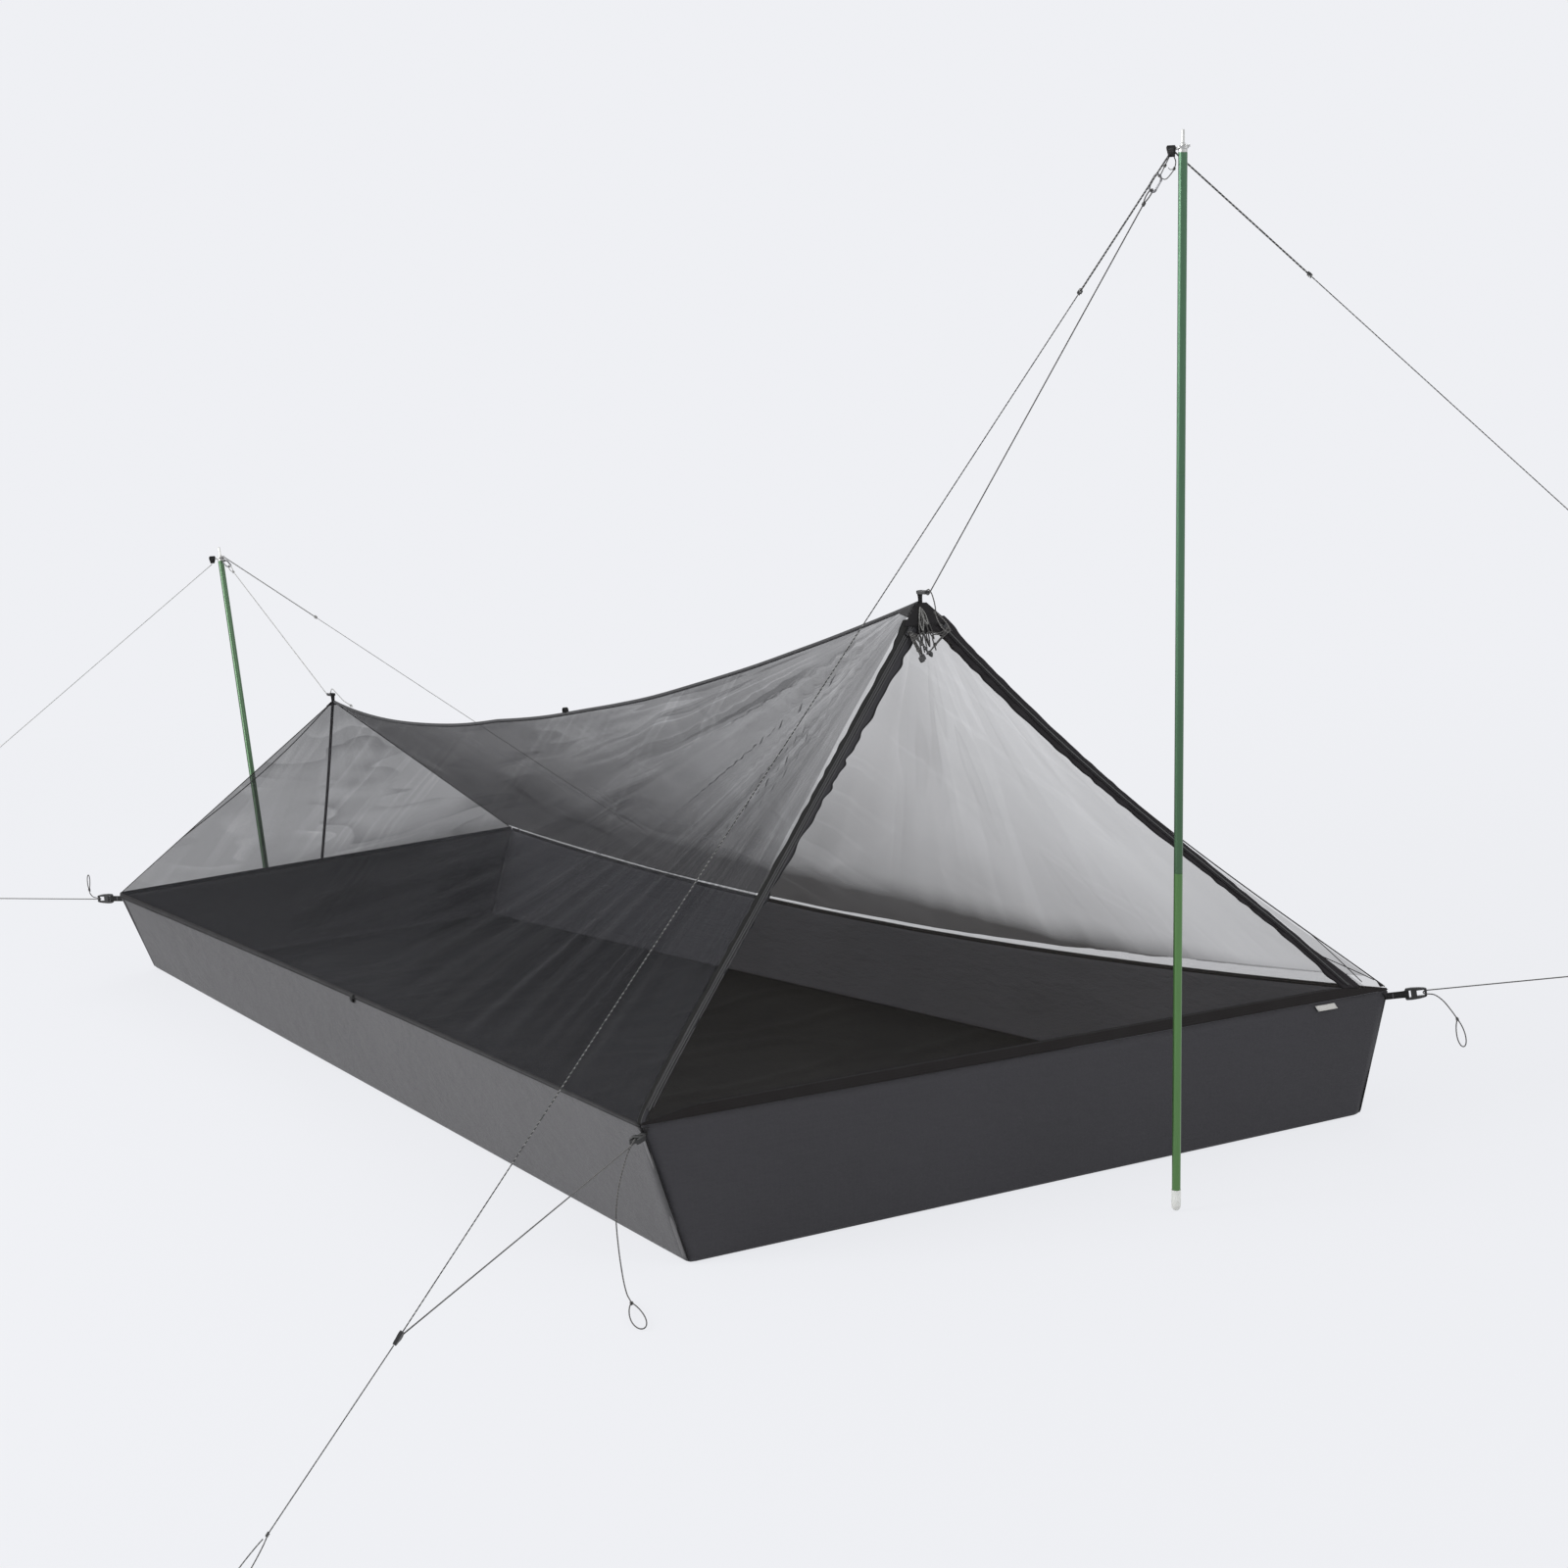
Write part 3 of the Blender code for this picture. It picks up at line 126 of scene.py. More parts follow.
# Every mesh made here rides a body, fills a slot and may stand for a CAD node
def addObject(name, parts, material, node=None, body=root):
    points, faces, uvs = parts
    data = bpy.data.meshes.new(name)
    data.from_pydata([tuple(p) for p in points], [], faces)
    layer = data.uv_layers.new(name="cloth")
    for loop in data.loops:
        layer.data[loop.index].uv = uvs[loop.vertex_index]
    data.update()
    data.shade_smooth()
    data.materials.append(material)
    obj = bpy.data.objects.new(name, data)
    bpy.context.scene.collection.objects.link(obj)
    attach(obj, body)
    if node:
        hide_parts(node)
    return obj


# One rule gives each point of a cloth and its place on the flat cloth
def gridOf(alongs, acrosses, rule):
    pairs = [[rule(a, b) for b in acrosses] for a in alongs]
    return [[pair[0] for pair in row] for row in pairs], [[pair[1] for pair in row] for row in pairs]


# Rows of points make a sheet; with a thickness it becomes a closed piece
def addCloth(name, grid, material, thickness, outward, node=None, offset=-1.0):
    rows, uvs = grid
    wide = len(rows[0])
    points = [p for row in rows for p in row]
    faces = []
    for i in range(len(rows) - 1):
        for j in range(wide - 1):
            a = i * wide + j
            faces.append((a, a + 1, a + wide + 1, a + wide))
    total = vec(0, 0, 0)
    for a, b, c, d in faces:
        total = total + (points[c] - points[a]).cross(points[d] - points[b])
    if total.dot(Vector(outward)) < 0:
        faces = [tuple(reversed(face)) for face in faces]
    obj = addObject(name, (points, faces, [uv for row in uvs for uv in row]), material, node)
    if thickness > 0:
        solid = obj.modifiers.new("thickness", "SOLIDIFY")
        solid.thickness = thickness
        solid.offset = offset
        solid.use_rim = True
        bakeModifiers(obj)
    return obj


def bakeModifiers(obj):
    graph = bpy.context.evaluated_depsgraph_get()
    data = bpy.data.meshes.new_from_object(obj.evaluated_get(graph))
    old = obj.data
    obj.modifiers.clear()
    obj.data = data
    bpy.data.meshes.remove(old)


def lineWay(points, i):
    return (points[min(i + 1, len(points) - 1)] - points[max(i - 1, 0)]).normalized()


# Frames that turn as little as they can along a line of points
def carriedFrames(points, hint=None):
    frames = []
    side = None
    for i in range(len(points)):
        along = lineWay(points, i)
        if side is None:
            side = Vector(hint) if hint is not None else vec(0, 0, 1)
            if abs(side.normalized().dot(along)) > 0.98:
                side = vec(1, 0, 0) if abs(along.x) < 0.9 else vec(0, 1, 0)
        side = (side - along * side.dot(along)).normalized()
        frames.append((along, side, along.cross(side)))
    return frames


# Rings of points joined into a closed tube
def ringParts(points, rings, uvs):
    count = len(rings[0])
    faces = []
    for i in range(len(points) - 1):
        for k in range(count):
            j = (k + 1) % count
            faces.append((i * count + k, i * count + j, (i + 1) * count + j, (i + 1) * count + k))
    faces.append(tuple(reversed(range(count))))
    faces.append(tuple(range((len(points) - 1) * count, len(points) * count)))
    return [p for ring in rings for p in ring], faces, uvs


def travelled(points):
    reach = [0.0]
    for i in range(1, len(points)):
        reach.append(reach[-1] + (points[i] - points[i - 1]).length)
    return reach


def tubeParts(stations, sides=10, hint=None):
    points = [Vector(s[0]) for s in stations]
    frames = carriedFrames(points, hint)
    rings = []
    uvs = []
    for (centre, radius), (along, side, other), far in zip(stations, frames, travelled(points)):
        ring = []
        for k in range(sides):
            angle = fullTurn * k / sides
            turn = side * (radius * math.cos(angle)) + other * (radius * math.sin(angle))
            ring.append(Vector(centre) + turn)
            uvs.append((far, k / sides))
        rings.append(ring)
    return ringParts(points, rings, uvs)


def evenTube(points, radius, sides):
    return tubeParts([(p, radius) for p in points], sides)


def joinParts(parts):
    verts = []
    faces = []
    uvs = []
    for part in parts:
        shift = len(verts)
        verts = verts + list(part[0])
        faces = faces + [tuple(k + shift for k in face) for face in part[1]]
        uvs = uvs + list(part[2])
    return verts, faces, uvs


# A smooth line through a few points
def smoothLine(points, steps):
    points = [Vector(p) for p in points]
    line = []
    for i in range(len(points) - 1):
        p0 = points[max(i - 1, 0)]
        p1 = points[i]
        p2 = points[i + 1]
        p3 = points[min(i + 2, len(points) - 1)]
        for k in range(steps):
            t = k / steps
            b = (p2 - p0) * t
            c = (p0 * 2 - p1 * 5 + p2 * 4 - p3) * (t * t)
            d = (p1 * 3 - p0 - p2 * 3 + p3) * (t * t * t)
            line.append((p1 * 2 + b + c + d) / 2)
    line.append(points[-1])
    return line


# A section carried along a line; the hint, one or one per point, says which way is up
def addSweep(name, points, section, ups, material, node=None):
    rings = []
    uvs = []
    for i, (centre, far) in enumerate(zip(points, travelled(points))):
        along = lineWay(points, i)
        up = Vector(ups[i] if isinstance(ups, list) else ups)
        up = (up - along * up.dot(along)).normalized()
        side = along.cross(up)
        shape = section(i) if callable(section) else section
        rings.append([centre + side * s + up * t for s, t in shape])
        uvs = uvs + [(far, s + t) for s, t in shape]
    return addObject(name, ringParts(points, rings, uvs), material, node)


def ovalSection(halfWide, halfHigh, sides=12):
    angles = [fullTurn * k / sides for k in range(sides)]
    return [(halfWide * math.cos(angle), halfHigh * math.sin(angle)) for angle in angles]


# A strap's width stays along one direction while it bends
def addRibbon(name, points, wideWay, wide, thick, node=None):
    section = tapeSection(wide, thick)
    ups = [Vector(wideWay).cross(lineWay(points, i)) for i in range(len(points))]
    return addSweep(name, points, section, ups, strapWebbing, node)


def tapeSection(wide, thick):
    h = wide / 2
    t = thick / 2
    e = min(t, 0.0004)
    low = [(-h, -t + e), (-h + e, -t), (h - e, -t), (h, -t + e)]
    return low + [(h, t - e), (h - e, t), (-h + e, t), (-h, t - e)]


# Values in a graph of nodes, which add up and multiply like numbers
class Wire:
    def __init__(self, tree, socket):
        self.tree = tree
        self.socket = socket

    def __add__(self, other):
        return calc("ADD", self, other)

    def __sub__(self, other):
        return calc("SUBTRACT", self, other)

    def __rsub__(self, other):
        return calc("SUBTRACT", other, self)

    def __mul__(self, other):
        return calc("MULTIPLY", self, other)

    def __truediv__(self, other):
        return calc("DIVIDE", self, other)

    def __pow__(self, other):
        return calc("POWER", self, other)

    def __abs__(self):
        return calc("ABSOLUTE", self)

    def __gt__(self, other):
        return calc("GREATER_THAN", self, other)

    def __lt__(self, other):
        return calc("LESS_THAN", self, other)


def feed(socket, value):
    if isinstance(value, Wire):
        value.tree.links.new(value.socket, socket)
    elif socket.type == "RGBA":
        socket.default_value = (*value, 1)
    else:
        socket.default_value = value


def grow(kind, values, out=0, tree=None, **settings):
    tree = tree or next(value.tree for value in values.values() if isinstance(value, Wire))
    node = tree.nodes.new("ShaderNode" + kind)
    for key, value in settings.items():
        setattr(node, key, value)
    for key, value in values.items():
        feed(node.inputs[key], value)
    return Wire(tree, node.outputs[out])


def calc(operation, a, b=0.0, clamp=False):
    return grow("Math", {0: a, 1: b}, operation=operation, use_clamp=clamp)


def waves(value, pitch):
    return calc("SINE", value * (fullTurn / pitch))


def joined(x, y, z):
    return grow("CombineXYZ", {0: x, 1: y, 2: z})


def speckle(place, scale, detail=2.0, roughness=0.5):
    values = {"Vector": place, "Scale": scale, "Detail": detail, "Roughness": roughness}
    return grow("TexNoise", values, "Fac")


def span(value, low, high, newLow=0.0, newHigh=1.0):
    return grow("MapRange", {0: value, 1: low, 2: high, 3: newLow, 4: newHigh}, clamp=True)


def blend(amount, a, b):
    return grow("Mix", {0: amount, 6: a, 7: b}, 2, data_type="RGBA")


def tint(colour, share):
    return tuple(min(1.0, c * share) for c in colour)


# Woven yarns over and under: 0 between them, 1 on top
def weave(u, v, pitch):
    return waves(u, pitch) * waves(v, pitch) * 0.5 + 0.5


# A finish is a small graph of nodes on one shader
class Finish:
    def __init__(self, name, colour, roughness, metallic=0.0):
        self.material = bpy.data.materials.new(name)
        self.material.use_nodes = True
        self.material.diffuse_color = (*colour, 1)
        self.tree = self.material.node_tree
        self.shader = self.tree.nodes["Principled BSDF"]
        self.put({"Base Color": colour, "Roughness": roughness, "Metallic": metallic})
        spot = self.tree.nodes.new("ShaderNodeTexCoord")
        self.place = Wire(self.tree, spot.outputs["Object"])
        self.x, self.y, self.z = [grow("SeparateXYZ", {0: self.place}, axis) for axis in "XYZ"]
        flat = Wire(self.tree, spot.outputs["UV"])
        self.u, self.v = [grow("SeparateXYZ", {0: flat}, axis) for axis in "XY"]

    def put(self, values):
        for name, value in values.items():
            feed(self.shader.inputs[name], value)

    def emboss(self, height, distance, strength):
        values = {"Height": height, "Distance": distance, "Strength": strength}
        self.put({"Normal": grow("Bump", values, "Normal")})


# Coated cloth of the tub and the floor; the four walls are one cloth, each coloured for how bright it looks:
# painted light and shade
clothPlan = {
    "wallColour": (0.063, 0.062, 0.065),
    # painted shade: the head wall is the same cloth, coloured darker for the shade it stands in
    "headShadeColour": (0.037, 0.036, 0.041),
    "farColour": (0.074, 0.074, 0.084),
    "footColour": (0.08, 0.08, 0.086),
    "floorColour": (0.008, 0.008, 0.0085),
    "yarn": 0.0011,
    "ripstop": 0.006,
}


def coatedCloth(name, colour, roughness, sheen):
    f = Finish(name, colour, roughness)
    cloud = speckle(f.place, 3.2, 4.0, 0.6)
    fine = speckle(f.place, 60.0, 3.0, 0.6)
    ribs = [waves(axis, clothPlan["ripstop"]) > 0.96 for axis in (f.u, f.v)]
    shade = blend(span(cloud, 0.3, 0.7), tint(colour, 0.8), tint(colour, 1.16))
    shade = blend(fine * 0.25, shade, tint(colour, 1.25))
    shade = blend(calc("MAXIMUM", *ribs) * 0.12, shade, tint(colour, 1.5))
    # Crumple lines as thin stretched noise
    stretched = speckle(joined(f.x * 5.0, f.y * 5.0, f.z * 14.0), 1.6, 5.0, 0.62)
    f.emboss(abs(stretched - 0.5) * 3.0 + weave(f.u, f.v, clothPlan["yarn"]) * 0.06, 0.004, 0.55)
    f.put({
        "Base Color": shade,
        "Roughness": span(cloud, 0.25, 0.75, roughness - 0.1, roughness + 0.1),
        "Sheen Weight": sheen,
        "Sheen Roughness": 0.4,
        "Specular IOR Level": 0.28,
    })
    return f.material


wallCloth = coatedCloth("tubClothGrey", clothPlan["wallColour"], 0.62, 0.1)
headShadedCloth = coatedCloth("tubClothHeadShaded", clothPlan["headShadeColour"], 0.62, 0.06)
farCloth = coatedCloth("tubClothFar", clothPlan["farColour"], 0.6, 0.06)
footCloth = coatedCloth("tubClothFoot", clothPlan["footColour"], 0.6, 0.06)
floorCloth = coatedCloth("floorClothBlack", clothPlan["floorColour"], 0.7, 0.01)

# Fine insect mesh: dark yarns with holes; density tells how much of it is yarn
meshPlan = {
    "hole": 0.0014,
    "nearColour": (0.0125, 0.0125, 0.015),
    "farColour": (0.034, 0.029, 0.032),
    "farWarm": (0.11, 0.095, 0.078),
    "farRimShade": (0.036, 0.025, 0.025),
    "doorColour": (0.03, 0.025, 0.02),
    "footColour": (0.06, 0.052, 0.046),
}


# A crease has one crisp side and one that fades
def creaseLines(value, level, crisp, fade):
    return calc("MINIMUM", span(value, level - crisp, level), span(value, level, level + fade, 1.0, 0.0))


def insectMesh(name, colour, density, streak, crease, peak, counts=(7.0, 17.0), warm=None):
    f = Finish(name, colour, 0.8)
    x, y, z, v = f.x, f.y, f.z, f.v
    holes = weave(f.u, v, meshPlan["hole"])
    # Streaks fan out from the peak, straight down on the two end panels
    back = peak[0] - x
    fan = calc("ARCTAN2", abs(y) * 1.35, back)
    if density in (doorDensity, footDensity):
        fan = y / (peak[2] + 0.04 - z)
    reach = calc("SQRT", back * back + y * y)
    lines = speckle(joined(fan * counts[0], reach * 1.3, 3.7), 1.0, 2.5)
    fold = span(lines * 0.72 + speckle(f.place, 3.5, 3.0) * 0.28, 0.3, 0.7)
    fine = speckle(joined(fan * counts[1], reach * 2.1, 8.2), 1.0, 1.5)
    hung = speckle(joined(x * 16.0 + z * 9.0, z, 1.1), 1.0, 1.5)
    # painted light and shade along the folds: pale crease lines take alpha away, dark ones add it
    pale = creaseLines(fine, 0.55, 0.015, 0.1) + creaseLines(hung, 0.56, 0.02, 0.12) * 0.6
    spare = span(speckle(f.place, 5.0, 2.0), 0.38, 0.62)
    lift = (pale - creaseLines(fine, 0.42, 0.09, 0.012)) * spare * crease
    # Folds fade out toward the sewn rim
    lift = (lift + (fold - 0.5) * streak) * span(v, 0.015, 0.22, 0.12, 1.0)
    # painted fold shading: the colour is lighter where the fold noise is high
    shade = blend(fold, tint(colour, 0.8), tint(colour, 1.5))
    if warm:
        shade = blend(span(x, 0.1, 0.5), shade, warm)
        # painted shade: toward the rim the far cover darkens to a brown band
        low = span(v, 0.012, span(x, 0.3, 0.9, 0.17, 0.08))
        shade = blend(low, meshPlan["farRimShade"], shade)
    f.emboss(fold + holes * 0.004, 0.006, 0.4)
    f.put({
        "Base Color": shade,
        "Alpha": calc("ADD", density(x, y, z, v) - lift, (holes - 0.5) * 0.03, True),
        "Sheen Weight": 0.06,
        "Sheen Roughness": 0.35,
        "Specular IOR Level": 0.15,
    })
    return f.material


# Beside the zip the near cover has one open strip, wide at the peak
def nearDensity(x, y, z, up):
    cover = span(x, -0.9, -0.2, 0.48, 0.54) + span(up, 0.0, 0.05, 0.03, 0.0)
    inside = z * -0.3963 + (1.0496 + 0.3963 * 0.167) - x
    wide = calc("MINIMUM", span(z, 0.26, 0.58, 0.0, 0.018), span(z, 0.59, 0.66, 0.018, 0.009))
    wide = wide + calc("SINE", z * 61.0) * 0.0016
    return cover * (1.0 - span(inside, wide - 0.004, wide, 0.82, 0.0))


# The far cover hangs doubled and slack toward the foot; along its rim a painted shade makes it denser and
# darker
def farDensity(x, y, z, up):
    base = span(x, -0.6, 0.55, 0.76, 0.38) - span(x, 0.66, 0.84, 0.0, 0.16)
    slack = span(up, 0.0, 0.55, 0.3, 0.0) * span(x, 0.0, 0.7, 1.0, 0.3)
    # painted shade: denser along the rim, for the dark band there
    edge = span(up, 0.01, span(x, 0.2, 0.9, 0.19, 0.06), 1.0, 0.0) ** 1.8
    total = calc("MINIMUM", base + slack + edge * span(x, 0.45, 0.98, 0.62, 0.18), 0.93)
    return total * (up > span(x, 0.25, 0.88, 0.016, 0.0305))


def doorDensity(x, y, z, up):
    return span(up, 0.0, 0.35, 0.25, 0.19)


def footDensity(x, y, z, up):
    return span(up, 0.0, 0.035, 0.3, 0.0) * span(y, -0.15, 0.25) + 0.47


headPeak = vec(0.8463, 0.0, 0.68)
footPeak = vec(-0.949, 0.0, 0.4107)
nearMesh = insectMesh("coverMeshNear", meshPlan["nearColour"], nearDensity, 0.22, 0.2, headPeak)
farMesh = insectMesh(
    "coverMeshFar", meshPlan["farColour"], farDensity, 0.11, 0.06, headPeak, (3.0, 5.5), meshPlan["farWarm"],
)
doorMesh = insectMesh("doorMeshPale", meshPlan["doorColour"], doorDensity, 0.07, 0.04, headPeak, (2.4, 4.6))
footMesh = insectMesh("footMeshPale", meshPlan["footColour"], footDensity, 0.07, 0.05, footPeak, (2.6, 5.0))

# Dashed thread: its distance from the tape's edge, half its width, and the pitch of the dashes
threadColour = (0.05, 0.05, 0.052)
bindingStitch = (0.0016, 0.0004, 0.0036)
strapStitch = (0.0, 0.0003, 0.003)


# Folded tapes, straps and cords
def ribbedTape(name, colour, pitch, roughness=0.75, stitch=None, bands=(), alpha=None):
    f = Finish(name, colour, roughness)
    yarns = weave(f.u, f.v, pitch)
    cloud = speckle(f.place, 26.0, 3.0, 0.6)
    shade = blend(cloud, tint(colour, 0.72), tint(colour, 1.35))
    shade = blend(yarns * 0.22, shade, tint(colour, 1.9))
    for low, high, tone in bands:
        shade = blend((f.v > low) * (f.v < high), shade, blend(cloud, tint(tone, 0.75), tint(tone, 1.3)))
    if stitch:
        offset, thick, dash = stitch
        shade = blend((abs(f.v - offset) < thick) * (waves(f.u, dash) > -0.25), shade, threadColour)
    if alpha is not None:
        f.put({"Alpha": yarns * 0.1 + (alpha - 0.05)})
    f.emboss(waves(f.u + f.v * 0.6, pitch) * 0.35 + yarns * 0.65, 0.0003, 0.8)
    f.put({
        "Base Color": shade,
        "Roughness": span(cloud, 0.3, 0.7, roughness - 0.08, roughness + 0.08),
        "Sheen Weight": 0.03,
        "Specular IOR Level": 0.2,
    })
    return f.material


# Bands across a zip strip, by the distance from its outer edge: the narrow pale band is a painted highlight
# line, and on the near strip the darker outer part and its darkest edge are painted shadow of the flap's fold
nearZipShadeBands = [
    (0.0, 0.0012, (0.01, 0.01, 0.01)),
    (0.008, 0.0094, (0.12, 0.12, 0.118)),
    (0.0094, 0.0186, (0.046, 0.045, 0.05)),
    (0.0186, 0.021, (0.012, 0.012, 0.013)),
]
farZipHighlightBands = [
    (0.008, 0.009, (0.045, 0.043, 0.045)),
    (0.0186, 0.021, (0.008, 0.007, 0.008)),
]
bindingTape = ribbedTape("bindingTapeBlack", (0.0085, 0.0078, 0.0082), 0.0012, stitch=bindingStitch)
sillTape = ribbedTape("sillTapeBlack", (0.0105, 0.0088, 0.0088), 0.0012, stitch=bindingStitch)
ridgeTape = ribbedTape("ridgeTapeGrey", (0.05, 0.05, 0.052), 0.0012)
rimHem = ribbedTape("rimHemPale", (0.8, 0.79, 0.775), 0.0016, 0.6, alpha=0.34)
seamTape = ribbedTape("seamTapeGrey", (0.034, 0.032, 0.031), 0.0012)
footSeamTape = ribbedTape("footSeamTapeGrey", (0.066, 0.062, 0.06), 0.0012)
flapTape = ribbedTape("zipFlapBlack", (0.024, 0.024, 0.0235), 0.0011, bands=nearZipShadeBands)
zipTape = ribbedTape("zipTapeGrey", (0.08, 0.079, 0.082), 0.0009)
farFlapTape = ribbedTape("zipFlapFar", (0.018, 0.016, 0.018), 0.0011, bands=farZipHighlightBands)
farWelt = ribbedTape("zipWeltDark", (0.026, 0.024, 0.027), 0.0009)
strapWebbing = ribbedTape("strapWebbingBlack", (0.012, 0.012, 0.012), 0.0018, stitch=strapStitch)
labelCloth = ribbedTape("blankLabelWhite", (0.62, 0.61, 0.58), 0.0008)
patchCloth = ribbedTape("reinforcementBlack", (0.016, 0.015, 0.016), 0.0014, stitch=bindingStitch)
pipingCloth = ribbedTape("cornerPipingGrey", (0.1, 0.098, 0.102), 0.0011, 0.6)


def twistedCord(name, colour, fleck, lay, twist=1.0, level=0.55):
    f = Finish(name, colour, 0.7)
    strand = waves(f.u * (1 / lay) + f.v * twist, 1.0)
    fuzz = speckle(f.place, 420.0)
    shade = blend(fuzz, tint(colour, 0.7), tint(colour, 1.3))
    shade = blend((strand > level) * (fuzz > 0.42), shade, fleck)
    f.emboss(calc("MAXIMUM", strand, waves(f.u * (1 / lay) - f.v * 2.0, 1.0)), 0.0002, 0.8)
    f.put({"Base Color": shade, "Sheen Weight": 0.1})
    return f.material


thickCord = twistedCord("guyCordTwisted", (0.022, 0.022, 0.022), (0.34, 0.34, 0.33), 0.0052, 0.4, 0.72)
thinCord = twistedCord("guyCordGrey", (0.085, 0.085, 0.085), (0.26, 0.26, 0.25), 0.004)
rearCord = twistedCord("rearCordPale", (0.3, 0.3, 0.295), (0.5, 0.5, 0.49), 0.004)
darkCord = twistedCord("tieCordDark", (0.04, 0.038, 0.036), (0.15, 0.145, 0.14), 0.0035)
paleCord = twistedCord("pullCordPale", (0.22, 0.22, 0.21), (0.45, 0.45, 0.43), 0.003)


# Metals and plastics
def anodised(name, low, high, highlight, grain):
    f = Finish(name, high, 0.3, 0.75)
    drawn = speckle(joined(f.x * grain, f.y * grain, f.z * 6.0), 1.0)
    # painted reflection: the colour blends with height from low to high, lighter where the pole mirrors the
    # bright floor and darker where it mirrors the dark horizon
    shade = blend(span(f.z, 0.25, 0.75), low, high)
    worn = span(speckle(f.place, 7.0, 3.0), 0.3, 0.7, 0.0, 0.22)
    shade = blend(worn, shade, blend(0.5, shade, (0, 0, 0)))
    f.emboss(drawn, 0.000006, 0.2)
    f.put({
        "Base Color": blend(drawn * 0.05, shade, highlight),
        "Roughness": span(drawn, 0.3, 0.7, 0.29, 0.33),
        "Coat Weight": 0.3,
        "Coat Roughness": 0.15,
    })
    return f.material


def bareMetal(name, colour, roughness):
    f = Finish(name, colour, roughness, 1.0)
    mark = speckle(f.place, 1200.0, 3.0, 0.6)
    f.emboss(mark, 0.00003, 0.5)
    f.put({
        "Base Color": blend(speckle(f.place, 160.0), tint(colour, 0.75), tint(colour, 1.15)),
        "Roughness": span(mark, 0.3, 0.7, roughness - 0.07, roughness + 0.12),
    })
    return f.material


def mouldedPlastic(name, colour, roughness, dirt=None):
    f = Finish(name, colour, roughness)
    grain = speckle(f.place, 1500.0, 2.0, 0.6)
    cloud = speckle(f.place, 60.0, 3.0)
    shade = blend(cloud, tint(colour, 0.85), tint(colour, 1.12))
    if dirt:
        shade = blend(span(f.z, 0.0, 0.014, 1.0, 0.0) * cloud * 0.6, shade, dirt)
    f.emboss(grain, 0.00005, 0.5)
    f.put({"Base Color": shade, "Roughness": span(grain, 0.3, 0.7, roughness - 0.06, roughness + 0.08)})
    return f.material


poleShine = (0.35, 0.6, 0.42)
lightShine = (0.45, 0.7, 0.4)
# Front pole colours are painted reflection: the lower section lit by the floor below it, the middle darkened
# by the horizon
poleShadedReflection = anodised("poleAnodisedShadedReflection", (0.04, 0.09, 0.036), (0.058, 0.135, 0.072), poleShine, 900.0)
poleFloorReflection = anodised("poleAnodisedFloorReflection", (0.085, 0.2, 0.058), (0.05, 0.135, 0.034), lightShine, 900.0)
rearPole = anodised("poleAnodisedRearGreen", (0.055, 0.11, 0.052), (0.058, 0.12, 0.056), poleShine, 300.0)
poleTipPlastic = mouldedPlastic("poleTipWhite", (0.78, 0.79, 0.76), 0.38, (0.35, 0.33, 0.29))
pinMetal = bareMetal("polePinBare", (0.6, 0.6, 0.58), 0.3)
ringMetal = bareMetal("ringWireSteel", (0.52, 0.52, 0.51), 0.28)
hookMetal = bareMetal("hookDarkSteel", (0.2, 0.2, 0.21), 0.34)
gateMetal = bareMetal("gateSteel", (0.34, 0.34, 0.35), 0.32)
tensionerPlastic = mouldedPlastic("tensionerBlack", (0.013, 0.013, 0.013), 0.58)
sliderMetal = bareMetal("zipSliderBlack", (0.045, 0.045, 0.047), 0.4)
togglePlastic = mouldedPlastic("pullToggleGrey", (0.04, 0.04, 0.041), 0.5)
coilPlastic = mouldedPlastic("zipCoilBlack", (0.03, 0.03, 0.031), 0.4)
print("finishes made")


# The tub's own lines, as the CAD has them
tub = {
    "length": 2.1,
    "headWidth": 0.965,
    "footWidth": 0.615,
    "flare": 0.048,
    "nearHead": 0.167,
    "farHead": 0.151,
    "farFoot": 0.14,
    "nearFoot": 0.128,
    "nearSag": 0.012,
    "nearBow": 0.027,
    "farSag": 0.03,
    "farBow": 0.03,
    "cornerRadius": 0.012,
    "baseRadius": 0.006,
    "cloth": 0.0006,
    "floorCloth": 0.0005,
    "floorWaves": 0.0012,
    "floorWrinkles": 0.0034,
}
cadCloth = 0.0008
cadGap = 0.0003
half = tub["length"] / 2


def halfFloor(x):
    return between(tub["footWidth"], tub["headWidth"], (x + half) / tub["length"]) / 2


def rim(side, x):
    k = (x + half) / tub["length"]
    hang = 4 * k * (1 - k)
    tag = "near" if side < 0 else "far"
    z = between(tub[tag + "Foot"], tub[tag + "Head"], k) - tub[tag + "Sag"] * hang
    y = halfFloor(x) + tub["flare"] - tub[tag + "Bow"] * hang
    return vec(x, side * y, z)


def sidePoint(side, x, v):
    return vec(x, side * halfFloor(x), 0.0).lerp(rim(side, x), v)


def endPoint(end, y, v):
    near = sidePoint(-1, end * half, v)
    far = sidePoint(1, end * half, v)
    return near.lerp(far, (y - near.y) / (far.y - near.y))


